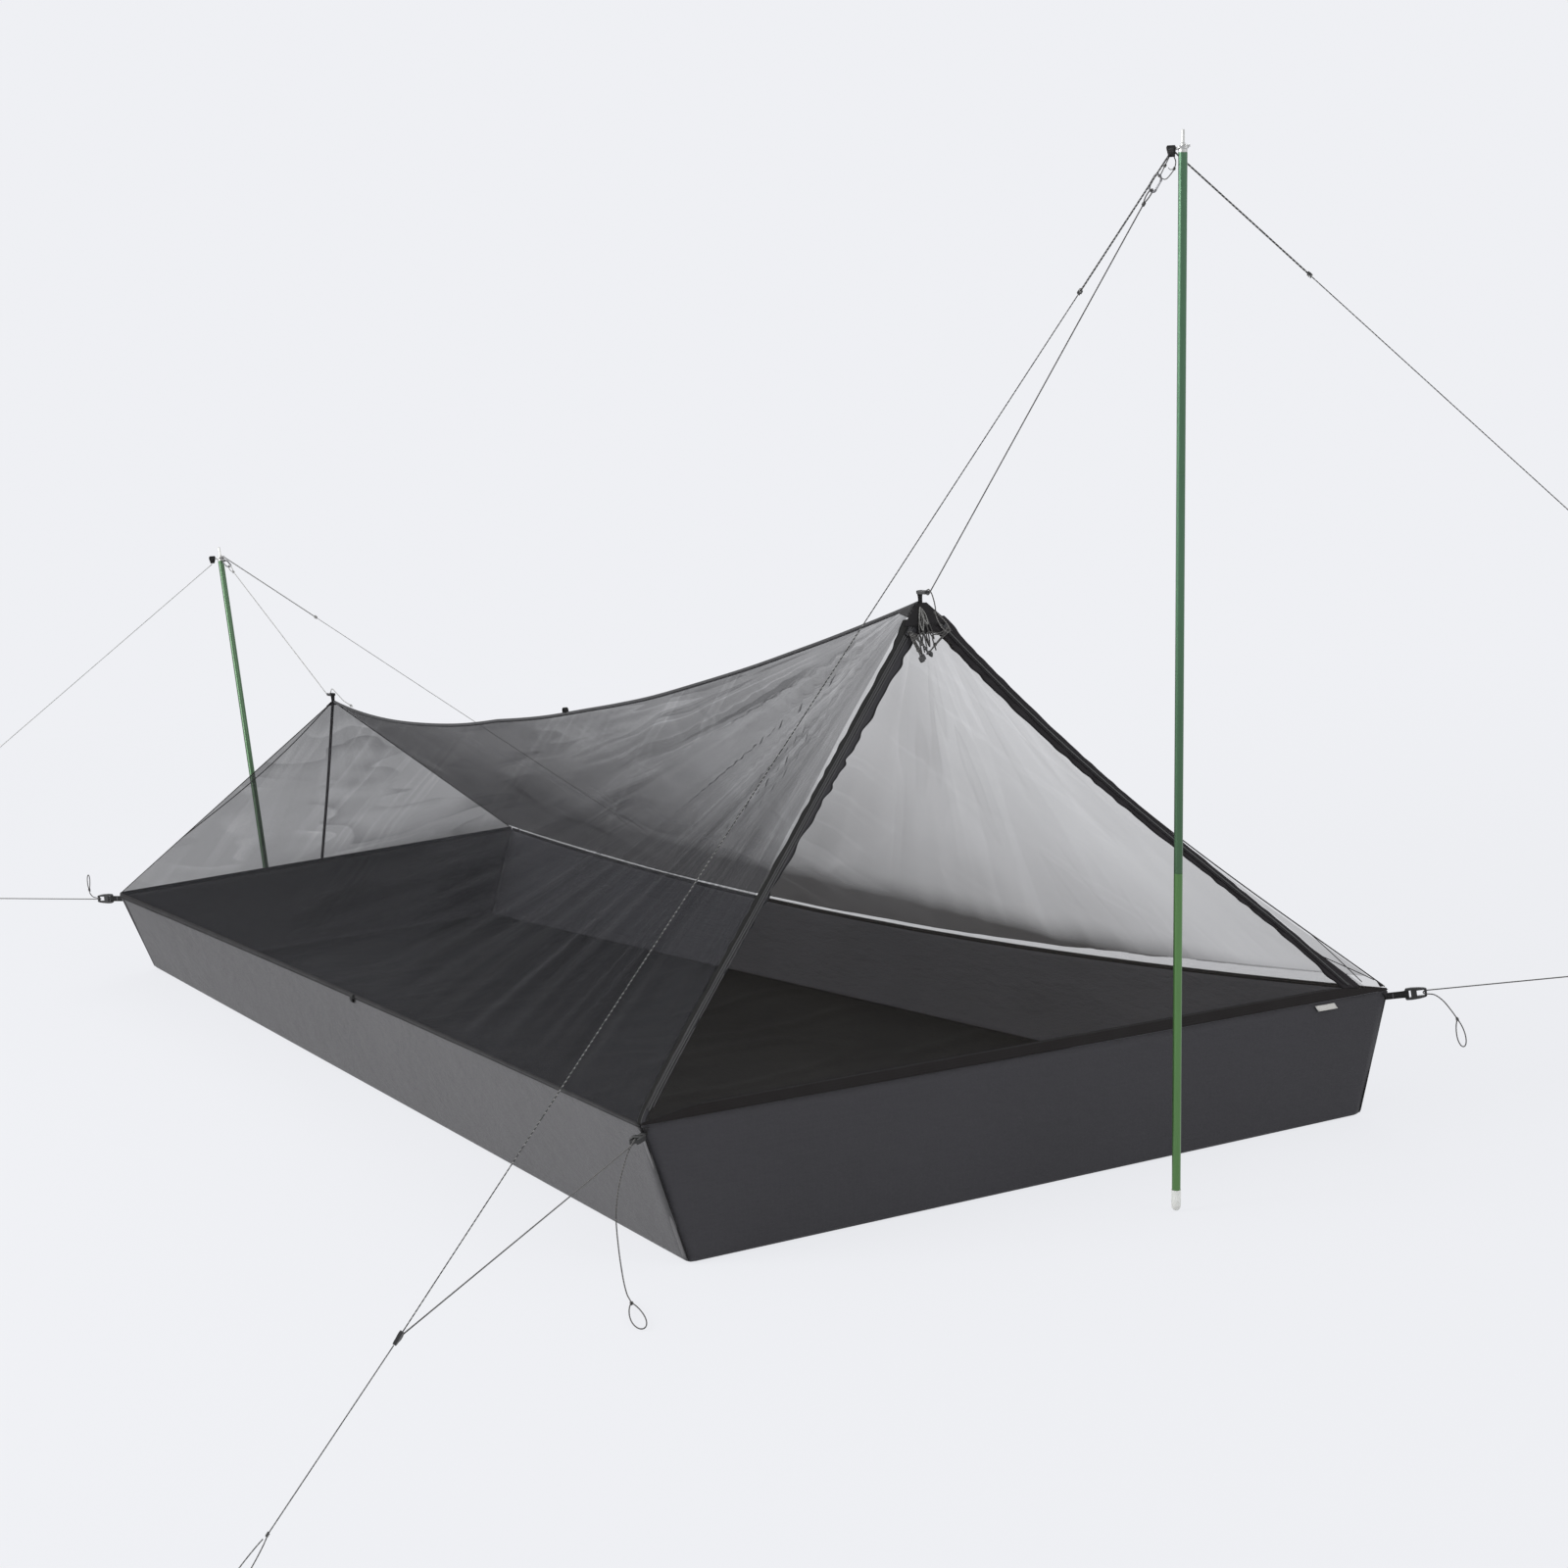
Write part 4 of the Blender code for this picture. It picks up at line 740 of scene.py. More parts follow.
# Corners turn with a small radius, and the foot of each wall curves in
def tubPoint(kind, side, along, v, push=0.0):
    radius = tub["cornerRadius"] * (1 - 0.6 * v)
    if kind == "side":
        end = 1 if along > 0 else -1
        corner = sidePoint(side, end * half, v)
        far = half - abs(along)
        spot = sidePoint(side, along, v)
        normal = vec(0, side, 0)
        other = vec(end, 0, 0)
        meet = endPoint(end, corner.y - side * radius, v)
        own = sidePoint(side, end * (half - radius), v)
    else:
        edge = -1 if along < 0 else 1
        corner = sidePoint(edge, side * half, v)
        far = abs(corner.y - along)
        spot = endPoint(side, along, v)
        normal = vec(side, 0, 0)
        other = vec(0, edge, 0)
        meet = sidePoint(edge, side * (half - radius), v)
        own = endPoint(side, corner.y - edge * radius, v)
    if far < radius:
        t = 0.5 * (radius - far) / radius
        spot = own * (1 - t) ** 2 + corner * (2 * t * (1 - t)) + meet * (t * t)
        normal = (normal * (1 - t) + other * t).normalized()
    base = tub["baseRadius"]
    if spot.z < base:
        push = push - (base - math.sqrt(max(0.0, base * base - (base - spot.z) ** 2)))
    return spot + normal * push


wallHeights = [0.0, 0.006, 0.014, 0.024, 0.036, 0.055] + [0.055 + 0.945 * i / 14 for i in range(1, 15)]
wallPlan = {
    "near_wall": ("side", -1, wallCloth, 0.004),
    "far_wall": ("side", 1, farCloth, 0.004),
    "head_wall": ("end", 1, headShadedCloth, 0.005),
    "foot_wall": ("end", -1, footCloth, 0.004),
}


def wallPush(x, y, v, seed, bulge, edge):
    near = ease(0.0, 0.22, edge)
    big = rough(x * 1.7 + seed, y * 1.7, v * 0.8)
    crease = rough(x * 9 + seed, y * 9, v * 2.2 + x * 2.4)
    return arch(min(v, 1.0)) * (bulge * near + 0.0045 * big + 0.0022 * crease * (1.25 - near))


def addWalls():
    for name, (kind, side, material, bulge) in wallPlan.items():
        seed = 3.1 * side + (7.3 if kind == "end" else 0.0)

        def wallSpot(t, v):
            t = t - 0.1 * math.sin(fullTurn * t) / fullTurn
            if kind == "side":
                along = -half + 2 * half * t
                push = wallPush(along, 0.0, v, seed, bulge, half - abs(along))
            else:
                low = sidePoint(-1, side * half, v).y
                high = sidePoint(1, side * half, v).y
                along = between(low, high, t)
                push = wallPush(0.0, along, v, seed, bulge, min(along - low, high - along))
            return tubPoint(kind, side, along, v, push), (along, v * 0.16)

        grid = gridOf(shares(168 if kind == "side" else 72), wallHeights, wallSpot)
        outward = (0, side, 0) if kind == "side" else (side, 0, 0)
        addCloth(name + "_cloth", grid, material, tub["cloth"], outward, name)


# The floor lies almost flat, with low wrinkles that fade out toward its edge
def addFloor():
    inner = tub["baseRadius"] + 0.0008

    def floorSpot(t, k):
        x = between(inner - half, half - inner, t)
        y = k * (halfFloor(x) - inner)
        edge = min(half - abs(x), halfFloor(x) - abs(y))
        ridge = 1 - abs(rough(x * 5.0 + y * 2.2, y * 4.0 - x * 1.2, 4.2)) * 2
        rise = tub["floorWaves"] * (rough(x * 3.1, y * 5.0, 0.3) + 0.7)
        rise = rise + tub["floorWrinkles"] * max(0.0, ridge - 0.72) / 0.28
        return vec(x, y, 0.0009 + ease(0.0, 0.05, edge) * rise), (x, y)

    grid = gridOf(shares(150), crosswise(56), floorSpot)
    thick = tub["floorCloth"]
    floor = addCloth("floor_cloth", grid, floorCloth, thick, (0, 0, 1), "floor_panel")


addWalls()
addFloor()
print("tub made")


# Planes of the door and of the foot panel
class SlopePlane:
    def __init__(self, near, far, peak, outward):
        self.origin = (near + far) / 2
        self.across = (far - near).normalized()
        self.half = (far - near).length / 2
        rise = peak - self.origin
        self.peakS = rise.dot(self.across)
        up = rise - self.across * self.peakS
        self.peakT = up.length
        self.up = up.normalized()
        self.normal = self.across.cross(self.up)
        if self.normal.dot(outward) < 0:
            self.normal = -self.normal

    def at(self, s, t, n):
        return self.origin + self.across * s + self.up * t + self.normal * n


peakHalf = 0.005
sillHeight = 0.014
sillThick = 0.0016
endX = half - cadCloth / 2
lean = math.atan2(endX - headPeak.x, headPeak.z - tub["nearHead"])
sillLift = cadGap + sillThick / 2 * math.sin(lean) + 0.0001
meshLift = cadGap + cadCloth / 2


def panelPlane(end, lift, peak):
    rims = [rim(side, end * half) for side in (-1, 1)]
    corners = [vec(end * endX, p.y, p.z + lift) for p in rims]
    return SlopePlane(*corners, peak, vec(end, 0, 0))


door = panelPlane(1, sillLift, headPeak)
footPlane = panelPlane(-1, meshLift, footPeak)

farZipInset = 0.036
farZipBow = 0.013
farEdgeBow = 0.0275
nearEdgeBow = 0.0095


def edgeAxes(side, inset):
    start = vec(side * (door.half - inset), 0.0)
    finish = vec(door.peakS + side * peakHalf, door.peakT)
    along = (finish - start).normalized()
    return start, along, vec(along.y, -along.x) * -side


# The far front edge hangs in below the peak, the near one bulges out above the corner
def edgeBow(side, share):
    share = min(max(share, 0.0), 1.0)
    return -nearEdgeBow * arch(share ** 0.3) if side < 0 else farEdgeBow * arch(share ** 1.1)


def zipPoint(side, lateral, height, normal):
    start, along, inward = edgeAxes(side, farZipInset if side > 0 else 0.0)
    base = start + inward * lateral
    p = base + along * ((height - base.y) / along.y)
    return door.at(p.x, p.y, normal)


# The sewn strip of the far zip hangs in between its ends, and meets the slider's line near the peak
def stripPoint(side, lateral, height, normal):
    share = height / door.peakT
    if side < 0:
        return zipPoint(side, lateral + edgeBow(side, share), height, normal)
    share = min(max((share - 0.15) / 0.785, 0.0), 1.0)
    return zipPoint(side, lateral + farZipBow * arch(share ** 1.2), height, normal)


# Mesh covers from the rim up to the ridge, pulled in folds from the head peak
coverPlan = {
    "flat": (0.72, 2.12),
    "ridgeSag": 0.074,
    "columns": 190,
    "rows": 64,
    "foldDepth": 0.0055,
    "bellyIn": 0.01,
}


def ridgeZ(x):
    u = (x - footPeak.x) / (headPeak.x - footPeak.x)
    sag = 4 * u * (1 - u) * (1 + 0.35 * (0.5 - u))
    wobble = 0.0022 * rough(u * 9.0, 2.0, 0.0) * arch(u)
    if 0.0 < u < 0.34:
        wobble = wobble - 0.0095 * arch((u / 0.34) ** 0.8)
    return between(footPeak.z, headPeak.z, u) - coverPlan["ridgeSag"] * sag + wobble


def rimCentre(side, x, lift):
    p = rim(side, x)
    return vec(p.x, p.y - side * cadCloth / 2, p.z + lift)


def coverGrid(side):
    edgeY = 0.0015 + cadGap + cadCloth / 2
    doorBack = 0.0012 / 2 + cadGap + cadCloth / 2 + 0.0004
    headLow = rimCentre(side, half - 0.0025, meshLift)
    headTop = door.at(door.peakS + side * peakHalf, door.peakT, -doorBack)
    footLow = rimCentre(side, -half + 0.0019, meshLift)
    footTop = footPlane.at(footPlane.peakS + side * 0.003, footPlane.peakT, -cadCloth - cadGap - 0.0013)

    def bottomAt(u):
        return rimCentre(side, between(footLow.x, headLow.x, u), meshLift)

    def topAt(u):
        x = between(footTop.x, headTop.x, u)
        y = edgeY + (peakHalf - edgeY) * max(0.0, (u - 0.9) / 0.1)
        y = y + (0.003 - edgeY) * max(0.0, (0.06 - u) / 0.06)
        return vec(x, side * y, ridgeZ(x))

    bottomFix = (footLow - bottomAt(0.0), headLow - bottomAt(1.0))
    topFix = (footTop - topAt(0.0), headTop - topAt(1.0))
    edgeIn = edgeAxes(side, 0.0)[2]
    pullIn = door.across * edgeIn.x + door.up * edgeIn.y
    rows = []
    for u in shares(coverPlan["columns"]):
        low = bottomAt(u) + bottomFix[0] * (1 - u) + bottomFix[1] * u
        high = topAt(u) + topFix[0] * (1 - u) + topFix[1] * u
        row = []
        for v in shares(coverPlan["rows"]):
            left = footLow.lerp(footTop, v)
            right = headLow.lerp(headTop, v)
            corner = footLow.lerp(headLow, u) * (1 - v) + footTop.lerp(headTop, u) * v
            spot = low * (1 - v) + high * v + left * (1 - u) + right * u - corner
            row.append(spot + pullIn * (edgeBow(side, v) * u ** 4))
        rows.append(row)
    return rows


def foldHeight(side, x, down, u, v):
    back = headPeak.x - x
    fan = math.atan2(down, max(back, 0.0001))
    reach = math.hypot(down, back)
    held = ease(0.0, 0.1, v) * ease(0.0, 0.1, 1 - v) * ease(0.0, 0.05, u) * ease(0.0, 0.06, 1 - u)
    fanned = rough(fan * 9.0, reach * 0.9, 5.0 * side)
    fine = rough(fan * 24.0, reach * 2.0, 9.0 * side)
    hung = rough(x * 11.0 - down * 4.0, down * 1.6, 2.0 * side)
    folds = fanned * 1.3 + fine * 0.7 * (0.3 + ease(1.9, 0.2, reach)) + hung * 0.8 * ease(0.25, 1.0, v)
    return held * coverPlan["foldDepth"] * folds


def areaOf(rows):
    total = 0.0
    for row, after in zip(rows, rows[1:]):
        for j in range(len(row) - 1):
            total = total + (after[j + 1] - row[j]).cross(after[j] - row[j + 1]).length / 2
    return total


coverRows = {side: coverGrid(side) for side in (-1, 1)}


def addCovers():
    for side, name, material in ((-1, "near_canopy", nearMesh), (1, "far_canopy", farMesh)):
        rows = coverRows[side]

        def coverSpot(i, j):
            row = rows[i]
            p = row[j]
            along = rows[min(i + 1, len(rows) - 1)][j] - rows[max(i - 1, 0)][j]
            normal = along.cross(row[min(j + 1, len(row) - 1)] - row[max(j - 1, 0)])
            if normal.z < 0:
                normal = -normal
            normal = normal.normalized() if normal.length > 0 else vec(0, 0, 1)
            u = i / coverPlan["columns"]
            v = j / coverPlan["rows"]
            lift = foldHeight(side, p.x, (row[-1] - p).length, u, v)
            belly = coverPlan["bellyIn"] * arch(v) * arch(u)
            return p + normal * (lift - belly * 0.4), (p.x, (p - row[0]).length)

        grid = gridOf(range(len(rows)), range(len(rows[0])), coverSpot)
        cover = addCloth(name + "_mesh", grid, material, 0.0, (0, side, 1), name)
        areaOf(grid[0])


# Panels at the two ends; folds, sag and bow are depths in metres
panelPlan = {
    "doorGrid": (84, 96),
    "doorLow": sillHeight - 0.004,
    "doorTopGap": 0.022,
    "doorFolds": 0.006,
    "doorFineFolds": 0.0028,
    "doorSag": 0.0028,
    "footGrid": (60, 44),
    "footTopGap": 0.002,
    "footFolds": 0.0045,
    "footSeam": (0.0052, 0.001),
    "gussetLow": 0.0045,
    "gussetShare": 0.5,
    "gussetWide": 0.036,
}


# Door panel between the zips, its cloth drawn in soft folds from the peak
def addDoor():
    low = panelPlan["doorLow"]
    high = door.peakT - panelPlan["doorTopGap"]

    def doorSpot(k, v):
        t = between(low, high, v) - 0.0065 * (1 - v) ** 12 * (1 - ease(0.0, 0.09, min(k, 1 - k)))
        near = stripPoint(-1, 0.006, t, 0.0)
        far = stripPoint(1, 0.012, t, 0.0)
        s = (k - 0.5) * (far - near).length
        drop = door.peakT - t
        fan = math.atan2(s, drop)
        held = ease(0.0, 0.1, k) * ease(0.0, 0.1, 1 - k) * ease(0.0, 0.1, v) * ease(0.0, 0.08, 1 - v)
        big = rough(fan * 7.0, drop * 1.2, 1.5)
        fine = rough(fan * 17.0, drop * 2.6, 8.5)
        sag = rough(s * 3.0, t * 9.0, 6.0)
        folds = panelPlan["doorFolds"] * big + panelPlan["doorFineFolds"] * fine
        n = held * (folds + panelPlan["doorSag"] * sag * (1 - v)) - 0.0009
        return near.lerp(far, k) + door.normal * n, (s, t)

    columns, rows = panelPlan["doorGrid"]
    grid = gridOf(shares(columns), shares(rows), doorSpot)
    panel = addCloth("door_mesh", grid, doorMesh, 0.0, door.normal, "door_panel")
    tuple(door.at(0, low, 0))
    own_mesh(panel)


# Mesh gusset between the far zip and the far front edge, with its seams
def addGusset():
    start, along, inward = edgeAxes(1, 0.0)
    low = panelPlan["gussetLow"]
    high = door.peakT * panelPlan["gussetShare"]

    def edgeSpot(height, push=0.0, normal=0.0, back=0.0):
        base = start + inward * (edgeBow(1, height / door.peakT) - 0.001 - push)
        p = base + along * ((height - base.y) / along.y)
        return door.at(p.x - back, p.y, normal)

    def gussetSpot(share, k):
        height = between(low, high, share)
        inner = stripPoint(1, 0.001, height, 0.0)
        outer = edgeSpot(height)
        if (outer - inner).dot(door.across) < 0.0004:
            outer = inner + door.across * 0.0004
        wave = 0.0012 * rough(height * 20.0, k * 3.2, 2.0) * arch(k)
        return inner.lerp(outer, k) + door.normal * (wave - 0.0004), (panelPlan["gussetWide"] * k, height)

    def cornerSpot(i, k):
        height = 0.005 + 0.009 * i / 6
        wide = 0.007 * (1 - i / 6.5)
        return edgeSpot(height, -0.0004, 0.0009, wide * (1 - k)), (wide * k, height)

    grid = gridOf(shares(40), shares(8), gussetSpot)
    addCloth("far_door_gusset_mesh", grid, doorMesh, 0.0, door.normal, "far_door_gusset")
    runs = {
        "edge": (0.0009, [(between(low, high, k), -0.0008) for k in shares(24)]),
        "first": (0.0006, [(0.085, -0.001), (0.05, -0.008), (0.015, -0.016)]),
        "second": (0.0006, [(0.056, -0.02), (0.034, -0.01), (0.015, -0.002)]),
    }
    for name, (wide, spots) in runs.items():
        line = smoothLine([edgeSpot(height, push, 0.0006) for height, push in spots], 4)
        section = ovalSection(wide, 0.0005, 8)
        addSweep("gusset_" + name + "_seam", line, section, door.normal, seamTape)
    grid = gridOf(range(7), shares(4), cornerSpot)
    addCloth("gusset_corner_patch", grid, bindingTape, 0.0006, door.normal)


def addFootPanel():
    top = footPlane.peakT - panelPlan["footTopGap"]

    def reachAt(v):
        return between(footPlane.half, 0.003, v)

    def footSpot(k, v):
        t = top * v
        s = k * reachAt(v) + footPlane.peakS * v
        drop = footPlane.peakT - t
        held = ease(0.0, 0.12, 1 - abs(k)) * ease(0.0, 0.12, v) * ease(0.0, 0.06, 1 - v)
        n = held * panelPlan["footFolds"] * rough(math.atan2(s, drop) * 8.0, drop * 1.5, 3.3)
        return footPlane.at(s, t, n), (s, t)

    columns, rows = panelPlan["footGrid"]
    grid = gridOf(crosswise(columns), shares(rows), footSpot)
    panel = addCloth("foot_mesh", grid, footMesh, 0.0, (-1, 0, 0), "foot_panel")
    spots = ((footPlane.peakS, top - 0.003), (0.004, top * 0.5), (0.001, 0.004))
    seam = smoothLine([footPlane.at(s, t, 0.0012) for s, t in spots], 16)
    section = tapeSection(*panelPlan["footSeam"])
    addSweep("foot_seam", seam, section, footPlane.normal, footSeamTape)
    edges = {"near_edge": (-1, 0.0, 0.01), "near_fold": (-1, 0.017, 0.3), "far_edge": (1, 0.0, 0.01)}
    for name, (side, bow, first) in edges.items():
        line = []
        for share in shares(40):
            v = between(first, 0.985, share)
            s = side * (reachAt(v) - bow * arch((v - first) / (1 - first))) + footPlane.peakS * v
            line.append(footPlane.at(s, top * v, 0.0008))
        addSweep("foot_" + name, line, ovalSection(0.0009, 0.0006, 8), footPlane.normal, seamTape)


addCovers()
addDoor()
addGusset()
addFootPanel()
print("mesh panels made")

# Bindings along the ridge, the rims and the sill
bindingPlan = {
    "ridgeHalfWide": 0.0018,
    "ridgeHalfHigh": 0.0026,
    "rimHalfThick": 0.0013,
    "rimHalfHigh": 0.0026,
    "hemWide": 0.0165,
    "hemMore": 0.015,
}


def addBindings():
    line = []
    for k in shares(160):
        x = between(footPeak.x + 0.004, headPeak.x - 0.004, k)
        line.append(vec(x, 0.0012 * rough(x * 7.0, 0.0, 1.0), ridgeZ(x) + 0.0006))
    section = ovalSection(bindingPlan["ridgeHalfWide"], bindingPlan["ridgeHalfHigh"])
    addSweep("ridge_tape", line, section, (0, 0, 1), ridgeTape, "ridge_binding")
    for side, name in ((-1, "near_rim_binding"), (1, "far_rim_binding")):
        line = []
        for k in shares(140):
            x = between(0.003 - half, half - 0.003, k)
            line.append(rimCentre(side, x, -0.0004 + 0.0003 * rough(x * 12.0, side, 0)))

        def rimSection(i):
            more = 0.0024 * (1 - i / 140) if side < 0 else 0.0006
            return ovalSection(bindingPlan["rimHalfThick"], bindingPlan["rimHalfHigh"] + more)

        addSweep(name, line, rimSection, (0, 0, 1), bindingTape)
    line = [footPlane.at(k * (footPlane.half - 0.002), 0.0, 0.0) for k in crosswise(60)]
    addSweep("foot_rim_binding", line, ovalSection(0.0014, 0.0044), footPlane.up, bindingTape)

    # Doubled cloth of the head sill, leaning with the door
    def sillSpot(k, v):
        t = sillHeight * v * (0.2 + 0.8 * min(1.0, (1 - abs(k)) / 0.15))
        s = k * (door.half - 0.0006 - (door.half - peakHalf) / door.peakT * t)
        ripple = 0.0007 * rough(s * 30.0, t * 40.0, 2.0) * arch(v)
        return door.at(s, t, 0.0002 + ripple), (s, t - 0.011)

    # Pale translucent hem along the foot of the far cover
    def hemSpot(column, k):
        low = column[0]
        way = (column[2] - low).normalized()
        wide = (bindingPlan["hemWide"] + bindingPlan["hemMore"] * ease(0.2, 0.9, low.x)) * k
        return low + way * (0.0006 + wide) + vec(0, way.z, -way.y) * 0.0004, (low.x, wide)

    grid = gridOf(crosswise(100), shares(8), sillSpot)
    addCloth("sill_tape", grid, sillTape, 0.0014, door.normal, "sill_band", 0.0)
    grid = gridOf(coverRows[1][4:-3], shares(4), hemSpot)
    addCloth("far_rim_hem", grid, rimHem, 0.0, (0, 1, 0.8))


# Zip strips with a ribbed coil, ruffled at the inner edge; under is how far a strip goes below the sill
zipPlan = {
    "low": 0.0143,
    "topGap": 0.019,
    "wideTop": 0.02,
    "steps": 260,
    "coilPitch": 0.0016,
    "near": {
        "side": -1,
        "under": 0.012,
        "start": 0.0008,
        "wideLow": 0.0082,
        "ruffle": 0.0017,
        "wander": 0.0014,
        "outer": 0.5,
        "lift": 0.0004,
        "flare": 0.0,
    },
    "far": {
        "side": 1,
        "under": 0.004,
        "start": 0.003,
        "wideLow": 0.0135,
        "ruffle": 0.0019,
        "wander": 0.002,
        "outer": 0.2,
        "lift": 0.0,
        "flare": 1.0,
    },
}


def ruffled(t, side, start):
    swing = fullTurn * (t / 0.033 + 0.35 * math.sin(t * 37.0 + side) + start)
    return 0.65 * math.sin(swing) + 0.45 * math.sin(1.71 * swing + 1.3 * side)


def coilSection(i):
    return ovalSection(0.0016, 0.00085, 8) if i % 2 == 0 else ovalSection(0.00128, 0.0006, 8)


def addZip(name, plan, flap, welt):
    side = plan["side"]
    low = zipPlan["low"]
    high = door.peakT - zipPlan["topGap"]

    def zipSpot(v, k):
        t = between(low - plan["under"], high, v)
        share = ease(0.0, 1.0, v)
        flare = plan["flare"] * ease(0.14, 0.0, v)
        start = plan["start"] * (1 - share) - 0.006 * flare
        wide = between(plan["wideLow"], zipPlan["wideTop"], share) + 0.007 * flare
        ruffle = plan["ruffle"] * ease(0.03, 0.16, v) * ease(0.0, 0.06, 1 - v)
        wander = plan["wander"] * ease(0.0, 0.05, v) * ease(0.0, 0.05, 1 - v)
        wave = ruffled(t, side, 0.0)
        bend = rough(t * 9.0, side * 2.0, 3.0) * ease(0.02, 0.22, v)
        lateral = start + wide * k + wander * k * k * wave
        lateral = lateral + plan["outer"] * wander * (1 - k) ** 2 * ruffled(t, side, 0.4)
        lateral = lateral - 0.005 * ease(0.93, 1.0, v) * (1 - k)
        n = plan["lift"] + 0.0007 * arch(k) * bend + ruffle * k * k * wave
        return stripPoint(side, lateral, t, n), (t, 0.021 * k)

    grid = gridOf(shares(zipPlan["steps"]), shares(10), zipSpot)
    addCloth(name + "_tape", grid, flap, 0.0009, door.normal, name, 0.0)
    count = int((high - low) / zipPlan["coilPitch"] * 2)
    line = [stripPoint(side, 0.008, between(low, high, k), 0.0014) for k in shares(count)]
    addSweep(name + "_coil", line, coilSection, door.normal, coilPlastic)
    section = ovalSection(0.0008, 0.0005, 6)
    for lateral, tag in ((0.0056, "outer"), (0.0108, "inner")):
        line = []
        for i in range(161):
            t = between(low + 0.003, high - 0.003, i / 160)
            line.append(stripPoint(side, lateral, t, 0.0016 + 0.0002 * math.sin(i * 1.9)))
        addSweep(name + "_" + tag + "_welt", line, section, door.normal, welt)


addBindings()
addZip("near_zip", zipPlan["near"], flapTape, zipTape)
addZip("far_zip", zipPlan["far"], farFlapTape, farWelt)
print("bindings and zips made")

# Cord runs repeat the routes of the CAD, in metres; barMiddle is a tensioner's front bar
cordRadius = 0.00075
guyThick = 0.001
guyThin = 0.0006
peakK = 0.68
barMiddle = 0.0115
wrapRadius = 0.00213
wrapSlack = 0.00035
junction = vec(1.6548, -1.0999, 0.1913)
nearStake = vec(1.715, -1.32, 0.0016)


def wrapTurns(place, k, rise, last, mainY, steps=18):
    radius = wrapRadius * k + wrapSlack + cordRadius
    points = []
    for f in shares(steps):
        angle = math.radians(between(rise - 90, last, f))
        x = barMiddle * k + radius * math.cos(angle)
        points.append(place @ vec(x, mainY * (1 - 2 * f), radius * math.sin(angle)))
    return points


def loopEnd(knot, tip, side, width, lastTurn=0.42, steps=32):
    along = (tip - knot).normalized()
    across = (Vector(side) - along * along.dot(Vector(side))).normalized()
    points = []
    for i in range(1, steps + 1):
        angle = (fullTurn - lastTurn) * i / steps
        x = (tip - knot).length * (1 - math.cos(angle)) / 2
        y = width * math.sin(angle) * (0.35 + 0.65 * math.sin(angle / 2))
        points.append(knot + along * x + across * y)
    return points


def straight(a, b, count):
    return [a.lerp(b, k) for k in shares(count - 1)]


# A small barrel of turns round the line, for every knot
def knotTurns(centre, way, lineRadius, turns=3.0):
    way = Vector(way).normalized()
    reach = lineRadius * (turns + 0.6) * 1.9
    start = vec(0, 0, 1) if abs(way.z) < 0.9 else vec(1, 0, 0)
    side = (start - way * start.dot(way)).normalized()
    other = way.cross(side)
    stations = []
    for f in shares(int(turns * 14)):
        angle = fullTurn * turns * f
        r = lineRadius * (1.75 + 0.25 * arch(f))
        turn = side * (r * math.cos(angle)) + other * (r * math.sin(angle))
        stations.append((centre + way * (reach * (f - 0.5)) + turn, lineRadius * 0.92))
    return tubeParts(stations, 6, way)


def thinOut(points, least):
    kept = [points[0]]
    for p in points[1:-1]:
        if (p - kept[-1]).length >= least:
            kept.append(p)
    return kept + [points[-1]]


# Each cord is named after its CAD node; it leaves at its first point unless told otherwise
def addCord(node, points, radii, material, knots):
    parts = [tubeParts(list(zip(points, radii)), 9)] + [knotTurns(*knot) for knot in knots]
    name = node + ("_line" if node.endswith("_cord") else "_cord")
    cord = addObject(name, joinParts(parts), material, node)
    round(travelled(points)[-1], 3)


# Where each corner tensioner stands: end, side, height, target, facing and reach
cornerPlan = {
    "near_head": (1, -1, 0.158, junction, (0, 0, 1), 0.029),
    "far_head": (1, 1, 0.1435, vec(1.2146, 0.7096, 0.1671), (0.734, -0.673, 0), 0.035),
    "near_foot": (-1, -1, 0.1215, vec(-1.2567, -0.5211, 0.1194), (0.62, -0.78, 0), 0.029),
    "far_foot": (-1, 1, 0.133, vec(-1.2567, 0.5211, 0.1194), (0, 0, 1), 0.029),
}
cornerFrames = {}
for name, (end, side, height, target, face, reach) in cornerPlan.items():
    slope = tub["flare"] / rim(side, end * half).z
    start = vec(end * half, side * (halfFloor(end * half) + slope * height), height)
    way = (target - start).normalized()
    place = frameAt(start, way, face)
    spread = 0.0042 * abs(place[2][1]) + 0.0009 * abs(place[2][2])
    seat = cadGap + 0.0001 + abs(way.y) * slope * spread
    cornerFrames[name] = frameAt(start + way * (seat + reach), way, face)

peakStrapX = 0.0122 * peakK
headPlace = frameAt((headPeak.x + peakStrapX + 0.0002, 0.0, headPeak.z + 0.0131), (1, 0, 0), (0, 0, 1))
footPlace = frameAt((footPeak.x - peakStrapX - 0.0002, 0.0, footPeak.z + 0.0115), (-1, 0, 0), (0, 0, 1))


def poleMatrix(low, high):
    z = (high - low).normalized()
    x = (vec(1, 0, 0) - z * z.x).normalized()
    return placed(low, x, z.cross(x), z)


